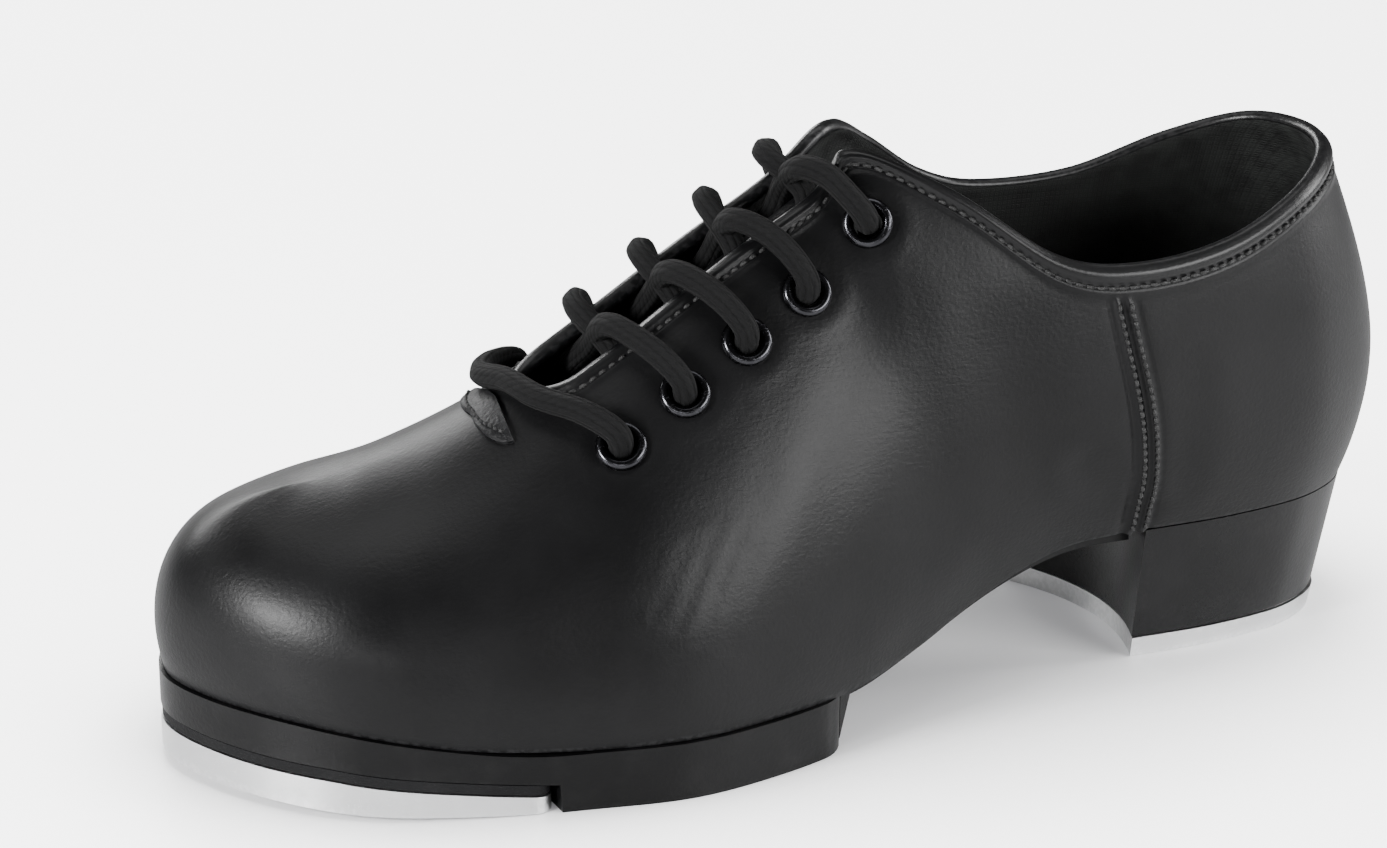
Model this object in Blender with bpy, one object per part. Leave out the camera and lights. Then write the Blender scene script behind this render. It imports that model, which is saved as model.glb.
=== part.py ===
"""Left tap shoe: a laced oxford on a block heel, with a metal tap under the toe and one under the heel.

Metres, +Z up. The toe points to -X and the outer side of the foot is at -Y. The floor is Z = 0, and the origin
is on it, in the middle of the heel tap's underside. Lengths along the shoe start at the back of the heel.
"""

import math
from collections import namedtuple

import bmesh
import bpy
import numpy as np
from mathutils import Matrix, Vector

# Overall sizes of the upper, measured on its outside.
LENGTH = 0.2668
BALL_WIDTH = 0.090
HEEL_WIDTH = 0.062
INSTEP_HEIGHT = 0.1105
BACK_HEIGHT = 0.0710
WALL = 0.0020
LASTING_MARGIN = 0.009

# Heights under the upper.
HEEL_HEIGHT = 0.0300
SEAT_DROP = 0.0010
BALL_SOLE = 0.0118
TOE_SPRING = 0.0067
TOE_LIFT = 0.0020

# Places along the shoe.
HEEL_CENTRE = 0.038
BREAST = 0.0675
FOREPART_END = 0.140
WAIST_END = 0.139
SPRING_START = 0.200
SPRING_END = 0.256

# Clearances: one between faces that meet, one for a lace in its eyelet.
GAP = 0.0003
LACE_CLEARANCE = 0.0005

# The throat between the facings, and the binding along the topline.
THROAT_BASE = 0.1930
THROAT_WIDTH = 0.0185
THROAT_LAG = 0.0060
FLARE_START = 0.1330
FLARE_RADIUS = 0.0140
FLARE_SLOPE = 0.6
BINDING_WIDTH = 0.0030
BINDING_RISE = 0.0005

# Eyelets and lace.
EYELET_COUNT = 5
FIRST_EYELET = 0.1825
EYELET_PITCH = 0.0139
EYELET_SETBACK = 0.0185
EYELET_CONVERGE = 0.0011
EYELET_RADIUS = 0.0050
EYELET_METAL = 0.0004
EYELET_SEAT = 0.0005
EYELET_RISE = 0.0013
LACE_DIAMETER = 0.0048

# The tongue, the insole and the stay at the foot of the throat.
TONGUE_THICKNESS = 0.0022
TONGUE_HALF_WIDTH = 0.026
TONGUE_OVERLAP = 0.012
TONGUE_RAMP = 0.014
INSOLE_THICKNESS = 0.0030
STAY_LENGTH = 0.0050
STAY_WIDTH = 0.0260
STAY_GAP = 0.0042
STAY_THICKNESS = 0.0007

# The raised seam between quarter and back, one on each side of the shoe.
SEAM_STATION = 11.87
SEAM_BOW = 0.08
SEAM_WIDTH = 0.0046
SEAM_RISE = 0.0006
SEAM_REACH = 1.6
SEAM_RAKE = 0.16

# The outsole, the taps and the heel.
WAIST_SOLE = 0.0040
WAIST_GAP = 0.0008
WAIST_INSET = 0.0060
FOREPART_SLOPE = 0.0040
SOLE_EDGE = 0.0008
SOLE_CORNER = 0.0070
TOE_TAP_START = 0.2028
TOE_TAP_BACK = 0.0030
TOE_TAP_FRONT = 0.0062
TOE_TAP_CORNER = 0.0050
TAP_PAD_THICKNESS = 0.0020
RECESS_DRAFT = 0.0004
HEEL_TAP_THICKNESS = 0.0042
HEEL_TAP_LIP = 0.0005
HEEL_TAPER = 0.0055
BREAST_HOLLOW = 0.0075
BREAST_SKEW = 0.0040

# Shares that shape the pieces: how far the level seat runs past the breast, how soon the toe tap has its full
# thickness, how fast the breast's hollow fades, how much more the heel's sides taper than its back, the tongue's
# width at its front, how round the stay is, and the eyelet's rolled edge and inner washer.
SEAT_REACH = 1.08
TAP_RAMP = 1.6
HOLLOW_FADE = 1.8
SIDE_TAPER = 1.5
TONGUE_FRONT = 0.62
STAY_ROUNDNESS = 0.93
EYELET_LIP = 0.6
WASHER_SHARE = 0.85

# How finely the forms are cut. Steps are counted in stations.
SKIN_ROWS = 9
BAND_SPREAD = 1.12
COLUMN_STEP = 0.48
COLUMN_GAP = 0.3
SEAM_GAP = 0.35
SEAM_SPREAD = 1.2
BASE_ANGLES = (0, 0.5, 0.95, 1.35)
RIB_SPANS = 4
BREAST_SPANS = 6
RIB_STEP = 0.45
TOE_STEP = 0.4
WAIST_STEP = 0.27
INSOLE_STEP = 0.7
TONGUE_STEP = 0.28
TIP_STATIONS = [0, 0.12, 0.3, 0.55, 0.85]
TOE_STATION = 1.2
CORNER_SHARES = (1, 0.6, 0.3, 0.1)
HEEL_ENDS = (0.6, 0.35, 0.15, 0)
TONGUE_SPANS = 8
STAY_SPANS = 4
STAY_SHARES = (0, 0.3, 0.6, 0.85, 1)
EYELET_SIDES = 12
LACE_STEPS = 9
ARC_STEPS = 10

# Where the curves are searched, and how closely.
HALVINGS = 40
NEARBY = 0.01
LOWEST_RIM = 0.45
CROWN_STATIONS = (0.5, 8.5)
FLARE_STATIONS = (8, 10)
LAST_EYELET_STATION = 9.5
MERGE = 1e-6

# Colours.
LEATHER = (0.012, 0.012, 0.013)
SOLE_BLACK = (0.014, 0.014, 0.015)
PAD_BLACK = (0.016, 0.016, 0.016)
INSOLE_GREY = (0.03, 0.03, 0.03)
LACE_BLACK = (0.012, 0.012, 0.012)
TAP_METAL = (0.80, 0.81, 0.82)
GUNMETAL = (0.05, 0.05, 0.055)

# One row for each section of the last, from the toe tip round one side to the back of the heel.
# x and top_x are shares of LENGTH, and lag is how far back the inner side's top lies, as a share of THROAT_LAG.
# outer and inner are the foot's two edges, top_outer and top_inner the top edge's: shares of BALL_WIDTH where
# heel is 0 and of HEEL_WIDTH where heel is 1. ridge is the crown's offset, a share of BALL_WIDTH. top is a share
# of INSTEP_HEIGHT where back is 0, and of BACK_HEIGHT over the seat where back is 1; step is what the inner side
# has more, as a share of BACK_HEIGHT. The four handles are shares of BALL_WIDTH: how far the section leaves its
# foot outwards and upwards, and how far it leaves its top outwards and downwards.
Section = namedtuple(
    "Section",
    "x outer inner heel top_x lag top_outer top_inner ridge top step back foot_out foot_up top_out top_down",
)
SECTIONS = [
    Section(0.983, -0.078, 0.078, 0, 0.888, 0, 0, 0, 0.050, 0.490, 0, 0, 0.061, 0.25, 0.19, 0),
    Section(0.968, 0.083, 0.233, 0, 0.881, 0, 0, 0, 0.050, 0.491, 0, 0, 0.061, 0.25, 0.21, 0),
    Section(0.933, 0.248, 0.367, 0, 0.866, 0, 0, 0, 0.044, 0.495, 0, 0, 0.061, 0.26, 0.24, 0),
    Section(0.884, 0.378, 0.428, 0, 0.840, 0, 0, 0, 0.034, 0.508, 0, 0, 0.056, 0.27, 0.28, 0),
    Section(0.817, 0.456, 0.461, 0, 0.795, 0, 0, 0, 0.005, 0.540, 0, 0, 0.056, 0.28, 0.28, 0),
    Section(0.739, 0.511, 0.467, 0, 0.735, 0, 0, 0, -0.035, 0.620, 0, 0, 0.056, 0.30, 0.25, 0),
    Section(0.664, 0.550, 0.444, 0, 0.664, 0, 0, 0, -0.045, 0.740, 0, 0, 0.056, 0.34, 0.22, 0.03),
    Section(0.590, 0.522, 0.394, 0, 0.590, 0, 0, 0, -0.045, 0.870, 0, 0, 0.072, 0.35, 0.20, 0.05),
    Section(0.519, 0.458, 0.350, 0, 0.515, 0, 0, 0, -0.040, 0.995, 0, 0, 0.084, 0.34, 0.20, 0.08),
    Section(0.455, 0.560, 0.445, 1, 0.474, 1, 0.180, 0.180, -0.020, 1.015, 0, 0, 0.108, 0.33, 0.17, 0.14),
    Section(0.388, 0.480, 0.415, 1, 0.410, 0.8, 0.380, 0.370, 0, 0.940, 0, 0, 0.128, 0.31, 0.11, 0.21),
    Section(0.317, 0.455, 0.415, 1, 0.340, 0.4, 0.520, 0.490, 0, 0.855, 0.035, 1, 0.130, 0.27, 0.06, 0.24),
    Section(0.246, 0.480, 0.465, 1, 0.276, 0, 0.575, 0.515, 0, 0.815, 0.010, 1, 0.105, 0.25, 0.035, 0.22),
    Section(0.168, 0.490, 0.485, 1, 0.194, 0, 0.560, 0.480, 0, 0.850, -0.015, 1, 0.095, 0.26, 0.040, 0.24),
    Section(0.090, 0.440, 0.440, 1, 0.116, 0, 0.455, 0.400, 0, 0.945, -0.010, 1, 0.100, 0.29, 0.070, 0.27),
    Section(0.035, 0.275, 0.275, 1, 0.064, 0, 0.255, 0.240, 0, 1.010, 0, 1, 0.115, 0.31, 0.110, 0.29),
    Section(0.017, 0, 0, 1, 0.046, 0, 0, 0, 0, 1.025, 0, 1, 0.125, 0.32, 0.120, 0.31),
]
BACK = len(SECTIONS) - 1
RING = 2 * BACK
OUTER, INNER = -1, 1
CROWN_END = sum(1 for row in SECTIONS if not row.top_outer and not row.back) - 2


def length_of(x):
    """Distance of a point from the back of the heel."""
    return HEEL_CENTRE - x


def seat_height(x):
    """Height of the last's underside: heel seat, waist, ball and toe spring."""
    s = length_of(x)
    seat_slope = -SEAT_DROP / BREAST
    seat_end = BREAST * SEAT_REACH
    seat_start = HEEL_HEIGHT + SEAT_DROP / 2
    if s <= seat_end:
        return seat_start + seat_slope * s
    if s >= SPRING_START:
        share = min((s - SPRING_START) / (SPRING_END - SPRING_START), 1)
        return BALL_SOLE + TOE_SPRING * (3 * share**2 - 2 * share**3)
    if s >= WAIST_END:
        return BALL_SOLE
    run = WAIST_END - seat_end
    t = (s - seat_end) / run
    start = seat_start + seat_slope * seat_end
    hold = 2 * t**3 - 3 * t**2 + 1
    leave = t**3 - 2 * t**2 + t
    return hold * start + (1 - hold) * BALL_SOLE + leave * run * seat_slope


def section_ends(row, side):
    """The foot and the top of one section on one side."""
    width = HEEL_WIDTH if row.heel else BALL_WIDTH
    outer = side == OUTER
    foot_x = HEEL_CENTRE - row.x * LENGTH
    foot_y = side * (row.outer if outer else row.inner) * width
    top_y = side * (row.top_outer if outer else row.top_inner) * width + row.ridge * BALL_WIDTH
    top_z = HEEL_HEIGHT + row.top * BACK_HEIGHT if row.back else row.top * INSTEP_HEIGHT
    foot = np.array([foot_x, foot_y, seat_height(foot_x)])
    top_x = HEEL_CENTRE - row.top_x * LENGTH
    if not outer:
        top_x += row.lag * THROAT_LAG
        top_z += row.step * BACK_HEIGHT
    return foot, np.array([top_x, top_y, top_z])


def last_controls():
    """Four control points of each section, in ring order: toe tip, outer side, heel's back, inner side."""
    order = [(k, OUTER) for k in range(BACK + 1)]
    order += [(k, INNER) for k in range(BACK - 1, 0, -1)]
    ends = [section_ends(SECTIONS[k], side) for k, side in order]
    controls = []
    for i, (k, side) in enumerate(order):
        row = SECTIONS[k]
        foot, top = ends[i]
        run = ends[(i + 1) % RING][0] - ends[i - 1][0]
        out = np.array([run[1], -run[0], 0.0]) / math.hypot(run[0], run[1])
        climb = 0.0
        if not row.top_outer and not row.back:
            near = section_ends(SECTIONS[max(k - 1, 0)], OUTER)[1]
            far = section_ends(SECTIONS[k + 1], OUTER)[1]
            climb = (far[2] - near[2]) / (far[0] - near[0])
        foot_handle = out * row.foot_out + np.array([0, 0, row.foot_up])
        top_handle = out * row.top_out + np.array([0, 0, climb * out[0] * row.top_out - row.top_down])
        controls.append([foot, foot + foot_handle * BALL_WIDTH, top + top_handle * BALL_WIDTH, top])
    return np.array(controls)


CONTROLS = last_controls()


def along_ring(values, station):
    """Smooth curve through the ring's values, read at any station. The inner side's stations are negative."""
    i = math.floor(station)
    t = station - i
    a, b, c, d = (values[(i + n) % RING] for n in (-1, 0, 1, 2))
    return 0.5 * (2 * b + (c - a) * t + (2 * a - 5 * b + 4 * c - d) * t**2 + (3 * b - a - 3 * c + d) * t**3)


def last_point(station, rise):
    """A point of the upper's outside: rise is 0 at the foot and 1 at the top or the crown."""
    p = along_ring(CONTROLS, station)
    q = 1 - rise
    return p[0] * q**3 + 3 * p[1] * q * q * rise + 3 * p[2] * q * rise**2 + p[3] * rise**3


def last_frame(station, rise):
    """Point, outward normal and upward tangent of the upper's outside. On the crown both sides agree."""
    low, high = max(rise - NEARBY, 0), min(rise + NEARBY, 1)
    along = last_point(station + NEARBY, rise) - last_point(station - NEARBY, rise)
    up = last_point(station, high) - last_point(station, low)
    if rise == 1 and abs(station) < CROWN_END:
        ahead, behind = last_point(abs(station) + NEARBY, 1), last_point(max(abs(station) - NEARBY, 0), 1)
        along, up = ahead - behind, np.array([0.0, 1.0, 0.0])
    normal = np.cross(along, up)
    return last_point(station, rise), normal / np.linalg.norm(normal), up / (high - low)


def crown_offset(station):
    """Sideways place of the crown at a section."""
    return float(np.interp(abs(station), range(BACK + 1), [row.ridge * BALL_WIDTH for row in SECTIONS]))


def half_gap(s, side):
    """Half the throat's width at a length: round at its base, parallel, then flared at the collar."""
    half = THROAT_WIDTH / 2
    centre = THROAT_BASE - half
    if s >= centre:
        return math.sqrt(max(half**2 - (s - centre) ** 2, 0))
    past = max(FLARE_START - (THROAT_LAG if side == INNER else 0) - s, 0)
    curved = min(past, FLARE_SLOPE * FLARE_RADIUS)
    return half + curved**2 / (2 * FLARE_RADIUS) + (past - curved) * FLARE_SLOPE


def solve(function, low, high):
    """Where a function that climbs from below zero to above it crosses zero."""
    for _ in range(HALVINGS):
        middle = (low + high) / 2
        if function(middle) < 0:
            low = middle
        else:
            high = middle
    return (low + high) / 2


def station_at(s):
    """Station, without its side, whose crown is at a length."""
    return solve(lambda station: s - length_of(last_point(station, 1)[0]), *CROWN_STATIONS)


THROAT_STATION = station_at(THROAT_BASE)


def past_flare(station):
    """How far sideways the topline at a station lies beyond the flared throat."""
    top = last_point(station, 1)
    return abs(top[1] - crown_offset(station)) - half_gap(length_of(top[0]), OUTER if station > 0 else INNER)


FLARE_END = {
    side: solve(lambda station, side=side: past_flare(station * -side), *FLARE_STATIONS)
    for side in (OUTER, INNER)
}


def rise_at(station, offset):
    """Rise, on a section, of the point that lies sideways of the crown by an offset."""
    crown = crown_offset(station)
    return solve(lambda rise: offset - abs(last_point(station, rise)[1] - crown), LOWEST_RIM, 1)


def rim_rise(station):
    """Where the upper ends on a section: 1 on the closed vamp and on the collar, less beside the throat."""
    if abs(station) <= THROAT_STATION or abs(station) >= FLARE_END[OUTER if station > 0 else INNER]:
        return 1.0

    def inside(rise):
        point = last_point(station, rise)
        half = half_gap(length_of(point[0]), OUTER if station > 0 else INNER)
        return half - abs(point[1] - crown_offset(station))

    return solve(inside, LOWEST_RIM, 1)


def below_rim(station, setback):
    """Rise, on a section, of the point that lies below the upper's rim by a length of leather."""
    rise = rim_rise(station)
    for _ in range(ARC_STEPS):
        rise -= setback / ARC_STEPS / np.linalg.norm(last_frame(station, rise)[2])
    return rise


def spread(start, end, step):
    """Even places from start up to, but without, end."""
    count = max(round((end - start) / step), 1)
    return [start + (end - start) * i / count for i in range(count)]


def outward(station):
    """Level direction out of the foot's edge."""
    run = along_ring(CONTROLS, station + 2 * NEARBY)[0] - along_ring(CONTROLS, station - 2 * NEARBY)[0]
    return np.array([run[1], -run[0], 0.0]) / math.hypot(run[0], run[1])


def bowed(station, rise):
    """Station of a column at a rise: the columns near the rear seam follow its bow."""
    near = math.exp(-(((abs(station) - SEAM_STATION) / SEAM_REACH) ** 2))
    shift = (SEAM_BOW * math.sin(math.pi * rise) - SEAM_RAKE * rise) * near
    return station + math.copysign(1, station) * shift


SEAM_METRES = np.linalg.norm(last_point(SEAM_STATION + 0.5, 0.5) - last_point(SEAM_STATION - 0.5, 0.5))
SEAM_HALF = SEAM_WIDTH / 2 / SEAM_METRES


def column_stations():
    """Stations of the upper's columns on the outer side, closer round the throat's base, corner and seam."""
    half = THROAT_WIDTH / 2
    base = [station_at(THROAT_BASE - half + half * math.cos(a)) for a in BASE_ANGLES]
    flare = station_at(FLARE_START)
    past = FLARE_END[OUTER] + COLUMN_GAP
    seam = [SEAM_STATION + share * SEAM_HALF for share in (-SEAM_SPREAD, -1, 1, SEAM_SPREAD)]
    columns = spread(0, base[0], COLUMN_STEP) + base
    columns += spread(base[-1] + COLUMN_GAP, flare, COLUMN_STEP) + spread(flare, past, COLUMN_STEP / 3)
    columns += spread(past, seam[0] - COLUMN_GAP, COLUMN_STEP) + seam
    return columns + spread(seam[-1] + SEAM_GAP, BACK, COLUMN_STEP) + [BACK]


def skin_column(station):
    """The points of one section of the upper's wall: outside, rim, inside and lasting margin."""
    top = rim_rise(station)
    is_open = abs(station) > THROAT_STATION - MERGE
    rim_point, _, climb = last_frame(bowed(station, top), top)
    per_metre = 1 / np.linalg.norm(climb)
    past_base = (THROAT_BASE - length_of(rim_point[0])) / (THROAT_WIDTH / 2)
    bound = math.sqrt(min(max(past_base, 0), 1)) if is_open else 0
    rises, lifts = [], []
    for i in range(SKIN_ROWS + 2):
        even = top * i / (SKIN_ROWS + 1)
        below_band = (top - BINDING_WIDTH * BAND_SPREAD * per_metre) * i / (SKIN_ROWS - 1)
        in_band = top - BINDING_WIDTH * per_metre * (SKIN_ROWS + 1 - i)
        banded = below_band if i < SKIN_ROWS else in_band
        rises.append(even + (banded - even) * bound)
        lifts.append(BINDING_RISE * bound if i >= SKIN_ROWS else 0)
    on_seam = abs(abs(station) - SEAM_STATION) <= SEAM_HALF * (1 + NEARBY)
    outside, inside = [], []
    for rise, lift in zip(rises, lifts):
        point, normal, _ = last_frame(bowed(station, rise), rise)
        raised = max(lift, SEAM_RISE) if on_seam else lift
        outside.append(point + normal * raised)
        inside.append(point - normal * (WALL + lift))
    rim = []
    if is_open:
        point, normal, up = last_frame(bowed(station, top), top)
        rim = [point - normal * WALL / 2 + up * per_metre * BINDING_RISE * bound]
    foot = last_point(station, 0)
    out = outward(station)
    corner, upper_lip, lower_lip = (foot - out * depth for depth in (WALL, LASTING_MARGIN, LASTING_MARGIN))
    corner[2] = seat_height(corner[0]) + WALL
    upper_lip[2] = seat_height(upper_lip[0]) + WALL
    lower_lip[2] = seat_height(lower_lip[0])
    return outside, rim, inside[:0:-1] + [corner, upper_lip, lower_lip]


def mesh_object(name, points, faces, colour, roughness, metallic=0.0, smooth=None):
    """An object from points and faces, with its doubled points joined and its faces turned outwards."""
    work = bmesh.new()
    verts = [work.verts.new(point) for point in points]
    for face in faces:
        work.faces.new([verts[i] for i in face])
    bmesh.ops.remove_doubles(work, verts=work.verts, dist=MERGE)
    bmesh.ops.dissolve_degenerate(work, dist=MERGE / 10, edges=work.edges)
    bmesh.ops.recalc_face_normals(work, faces=work.faces)
    mesh = bpy.data.meshes.new(name)
    work.to_mesh(mesh)
    work.free()
    if smooth:
        mesh.shade_smooth()
        mesh.set_sharp_from_angle(angle=math.radians(smooth))
    return finished(bpy.data.objects.new(name, mesh), colour, roughness, metallic)


def finished(item, colour, roughness, metallic=0.0):
    """Link an object to the scene and give it its own material."""
    bpy.context.collection.objects.link(item)
    material = bpy.data.materials.new(item.name)
    material.use_nodes = True
    shader = material.node_tree.nodes["Principled BSDF"]
    shader.inputs["Base Color"].default_value = (*colour, 1)
    shader.inputs["Roughness"].default_value = roughness
    shader.inputs["Metallic"].default_value = metallic
    item.data.materials.append(material)
    return item


def grid_faces(rows, columns, closed_rows=False, closed_columns=False):
    """Faces of a grid of points stored row by row."""
    faces = []
    for i in range(rows if closed_rows else rows - 1):
        for j in range(columns if closed_columns else columns - 1):
            here, after, beside = i * columns, (i + 1) % rows * columns, (j + 1) % columns
            faces.append((here + j, after + j, after + beside, here + beside))
    return faces


def build_upper():
    """The hollow upper: vamp, quarters and back in one wall, open at throat, collar and underneath."""
    outer = column_stations()
    stations = outer + [-station for station in reversed(outer[1:-1])]
    points, loops = [], []
    for station in stations:
        outside, rim, inside = skin_column(station)
        start = len(points)
        loop = outside + rim + inside
        points += loop
        loops.append((start, len(loop), bool(rim)))
    rows = SKIN_ROWS + 2
    faces = []
    for here, there in zip(loops, loops[1:] + loops[:1]):
        if here[2] and there[2]:
            for j in range(here[1]):
                k = (j + 1) % here[1]
                faces.append((here[0] + j, there[0] + j, there[0] + k, here[0] + k))
            continue
        skip_here, skip_there = int(here[2]), int(there[2])
        for j in range(rows - 1):
            faces.append((here[0] + j, there[0] + j, there[0] + j + 1, here[0] + j + 1))
        a, b = here[0] + rows + skip_here, there[0] + rows + skip_there
        count = here[1] - rows - skip_here
        for j in range(count - 1):
            faces.append((a + j, b + j, b + j + 1, a + j + 1))
        faces.append((a + count - 1, b + count - 1, there[0], here[0]))
    return mesh_object("upper", points, faces, LEATHER, 0.32, smooth=40)


def foot_station(s):
    """Station, without its side, whose foot is at a length."""
    return solve(lambda station: s - length_of(last_point(station, 0)[0]), 0, BACK)


def rib_outline(station, grow=0.0, hollow=0.0, skew=0.0, spans=RIB_SPANS):
    """Points across the foot at a station, outer edge first, bowed back by a hollow and skewed."""
    outer = last_point(station, 0) + outward(station) * grow
    inner = last_point(-station, 0) + outward(-station) * grow
    points = []
    for j in range(spans + 1):
        share = j / spans
        point = outer + (inner - outer) * share
        point[0] += hollow * (1 - (2 * share - 1) ** 2) - skew * (share - 0.5)
        points.append(point)
    return points


def narrowed(outline, cut):
    """A rib's outline drawn in by a cut on each side."""
    scale = 1 - 2 * cut / abs(outline[0][1] - outline[-1][1])
    middle = (outline[0] + outline[-1]) / 2
    return [np.array([point[0], middle[1] + (point[1] - middle[1]) * scale, point[2]]) for point in outline]


def rounded(outline, end, corner):
    """A rib's outline drawn in where it lies within a rounded corner of a piece's end."""
    short = max(corner - abs(length_of(outline[0][0]) - end), 0)
    cut = corner - math.sqrt(corner**2 - short**2)
    return narrowed(outline, cut) if cut else outline


def slab(name, ribs, colour, roughness, metallic=0.0):
    """A closed solid from ribs, each a row of points below and a row above."""
    width = len(ribs[0][0])
    points = [point for low, high in ribs for point in low + high[::-1]]
    faces = grid_faces(len(ribs), 2 * width, closed_columns=True)
    last = (len(ribs) - 1) * 2 * width
    for start in (0, last):
        for j in range(width - 1):
            faces.append((start + j, start + j + 1, start + 2 * width - 2 - j, start + 2 * width - 1 - j))
    return mesh_object(name, points, faces, colour, roughness, metallic, smooth=30)


def at_heights(outline, low, high):
    """A rib: an outline's points at a lower and an upper height, each a number or a function of x."""

    def placed(height):
        return [np.array([p[0], p[1], height(p[0]) if callable(height) else height]) for p in outline]

    return placed(low), placed(high)


def toe_stations(end, step=TOE_STEP):
    """Stations from the toe tip to an end, closer together at the tip."""
    return TIP_STATIONS + spread(TOE_STATION, end, step) + [end]


def tap_bottom(x):
    """Height of the toe tap's underside, which lifts a little towards the toe."""
    return TOE_LIFT * (length_of(x) - TOE_TAP_START) / (LENGTH - TOE_TAP_START)


def tap_top(x):
    """Height of the toe tap's upper side: the tap thickens towards the toe."""
    share = (length_of(x) - TOE_TAP_START) / (LENGTH - TOE_TAP_START)
    return tap_bottom(x) + TOE_TAP_BACK + (TOE_TAP_FRONT - TOE_TAP_BACK) * min(TAP_RAMP * share, 1)


def pad_top(x):
    """Height of the upper side of the pad on the toe tap."""
    return tap_top(x) + GAP + TAP_PAD_THICKNESS


def under_seat(x):
    """Height of the faces that carry the last's underside."""
    return seat_height(x) - GAP


def under_waist(x):
    """Height of the waist's upper side, a little lower where the last's underside curves most."""
    share = (length_of(x) - BREAST) / (WAIST_END - BREAST)
    return under_seat(x) - (WAIST_GAP - GAP) * math.sin(math.pi * min(max(share, 0), 1))


def build_outsole():
    """The outsole: a flat forepart recessed for the toe tap, then a narrow waist up to the heel's breast."""
    recess_end = foot_station(TOE_TAP_START)
    ribs = []
    for station in toe_stations(recess_end):
        outline = rib_outline(station, SOLE_EDGE, spans=BREAST_SPANS)
        ribs.append(at_heights(outline, lambda x: pad_top(x) + GAP, under_seat))
    sole_start = foot_station(TOE_TAP_START - RECESS_DRAFT)
    corner = [foot_station(FOREPART_END + SOLE_CORNER * share) for share in (*CORNER_SHARES, 0)]
    for station in spread(sole_start, corner[0], RIB_STEP) + corner:
        outline = rounded(rib_outline(station, SOLE_EDGE, spans=BREAST_SPANS), FOREPART_END, SOLE_CORNER)
        ribs.append(at_heights(outline, 0.0, under_seat))
    waist_start = foot_station(FOREPART_END - FOREPART_SLOPE)
    waist_end = foot_station(BREAST + GAP)
    for station in spread(waist_start, waist_end, WAIST_STEP) + [waist_end]:
        share = (station - waist_start) / (waist_end - waist_start)
        outline = rib_outline(station, 0, BREAST_HOLLOW * share, BREAST_SKEW * share, BREAST_SPANS)
        outline = narrowed(outline, WAIST_INSET)
        ribs.append(at_heights(outline, lambda x: under_waist(x) - WAIST_SOLE, under_waist))
    return slab("outsole", ribs, SOLE_BLACK, 0.5)


def tap_outline(station, end, grow):
    """Outline across the toe tap: its back corners are rounded off."""
    return rounded(rib_outline(station, grow), length_of(last_point(end, 0)[0]), TOE_TAP_CORNER)


def build_toe_tap():
    """The toe tap, a flat metal plate that thickens towards the toe, and the thin pad above it."""
    end = foot_station(TOE_TAP_START + GAP)
    corner = [foot_station(TOE_TAP_START + GAP + TOE_TAP_CORNER * share) for share in CORNER_SHARES]
    stations = toe_stations(corner[0])[:-1] + corner + [end]
    tap = [at_heights(tap_outline(s, end, SOLE_EDGE), tap_bottom, tap_top) for s in stations]
    pad = [at_heights(tap_outline(s, end, SOLE_EDGE), lambda x: tap_top(x) + GAP, pad_top) for s in stations]
    slab("toe_tap_pad", pad, PAD_BLACK, 0.6)
    return slab("toe_tap", tap, TAP_METAL, 0.35, 0.9)


def heel_ribs(low, high, grow_low, grow_high):
    """Ribs of a heel piece between two heights: the heel narrows towards the floor from its breast back."""
    start = foot_station(BREAST)
    breast_x = HEEL_CENTRE - BREAST
    ribs = []
    for station in spread(start, BACK - HEEL_ENDS[0], RIB_STEP) + [BACK - step for step in HEEL_ENDS]:
        behind = (BREAST - length_of(last_point(station, 0)[0])) / BREAST
        fade = max(1 - HOLLOW_FADE * behind, 0)
        outline = rib_outline(station, 0, BREAST_HOLLOW * fade, BREAST_SKEW * fade, BREAST_SPANS)
        rib = []
        for height, grow in ((low, grow_low), (high, grow_high)):
            points = []
            for point in outline:
                z = height(point[0]) if callable(height) else height
                taper = HEEL_TAPER * (1 - z / HEEL_HEIGHT) - grow
                x = breast_x + (point[0] - breast_x) * (1 - taper / BREAST)
                points.append(np.array([x, point[1] * (1 - SIDE_TAPER * taper / HEEL_WIDTH), z]))
            rib.append(points)
        ribs.append(rib)
    return ribs


def build_heel():
    """The heel block with its hollow breast, and the metal tap under it."""
    block = heel_ribs(HEEL_TAP_THICKNESS + GAP, under_seat, 0, 0)
    tap = heel_ribs(0.0, HEEL_TAP_THICKNESS, HEEL_TAP_LIP, HEEL_TAP_LIP)
    slab("heel", block, LEATHER, 0.35)
    return slab("heel_tap", tap, TAP_METAL, 0.35, 0.9)


def build_insole():
    """The insole, resting on the upper's lasting margin."""
    inset = -(WALL + 2 * GAP)
    ribs = []
    for station in toe_stations(BACK - HEEL_ENDS[0], INSOLE_STEP) + [BACK - step for step in HEEL_ENDS[1:]]:
        outline = rib_outline(station, inset)
        low = [seat_height(p[0]) + WALL + GAP for p in outline]
        ribs.append((
            [np.array([p[0], p[1], z]) for p, z in zip(outline, low)],
            [np.array([p[0], p[1], z + INSOLE_THICKNESS]) for p, z in zip(outline, low)],
        ))
    return slab("insole", ribs, INSOLE_GREY, 0.8)


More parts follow.
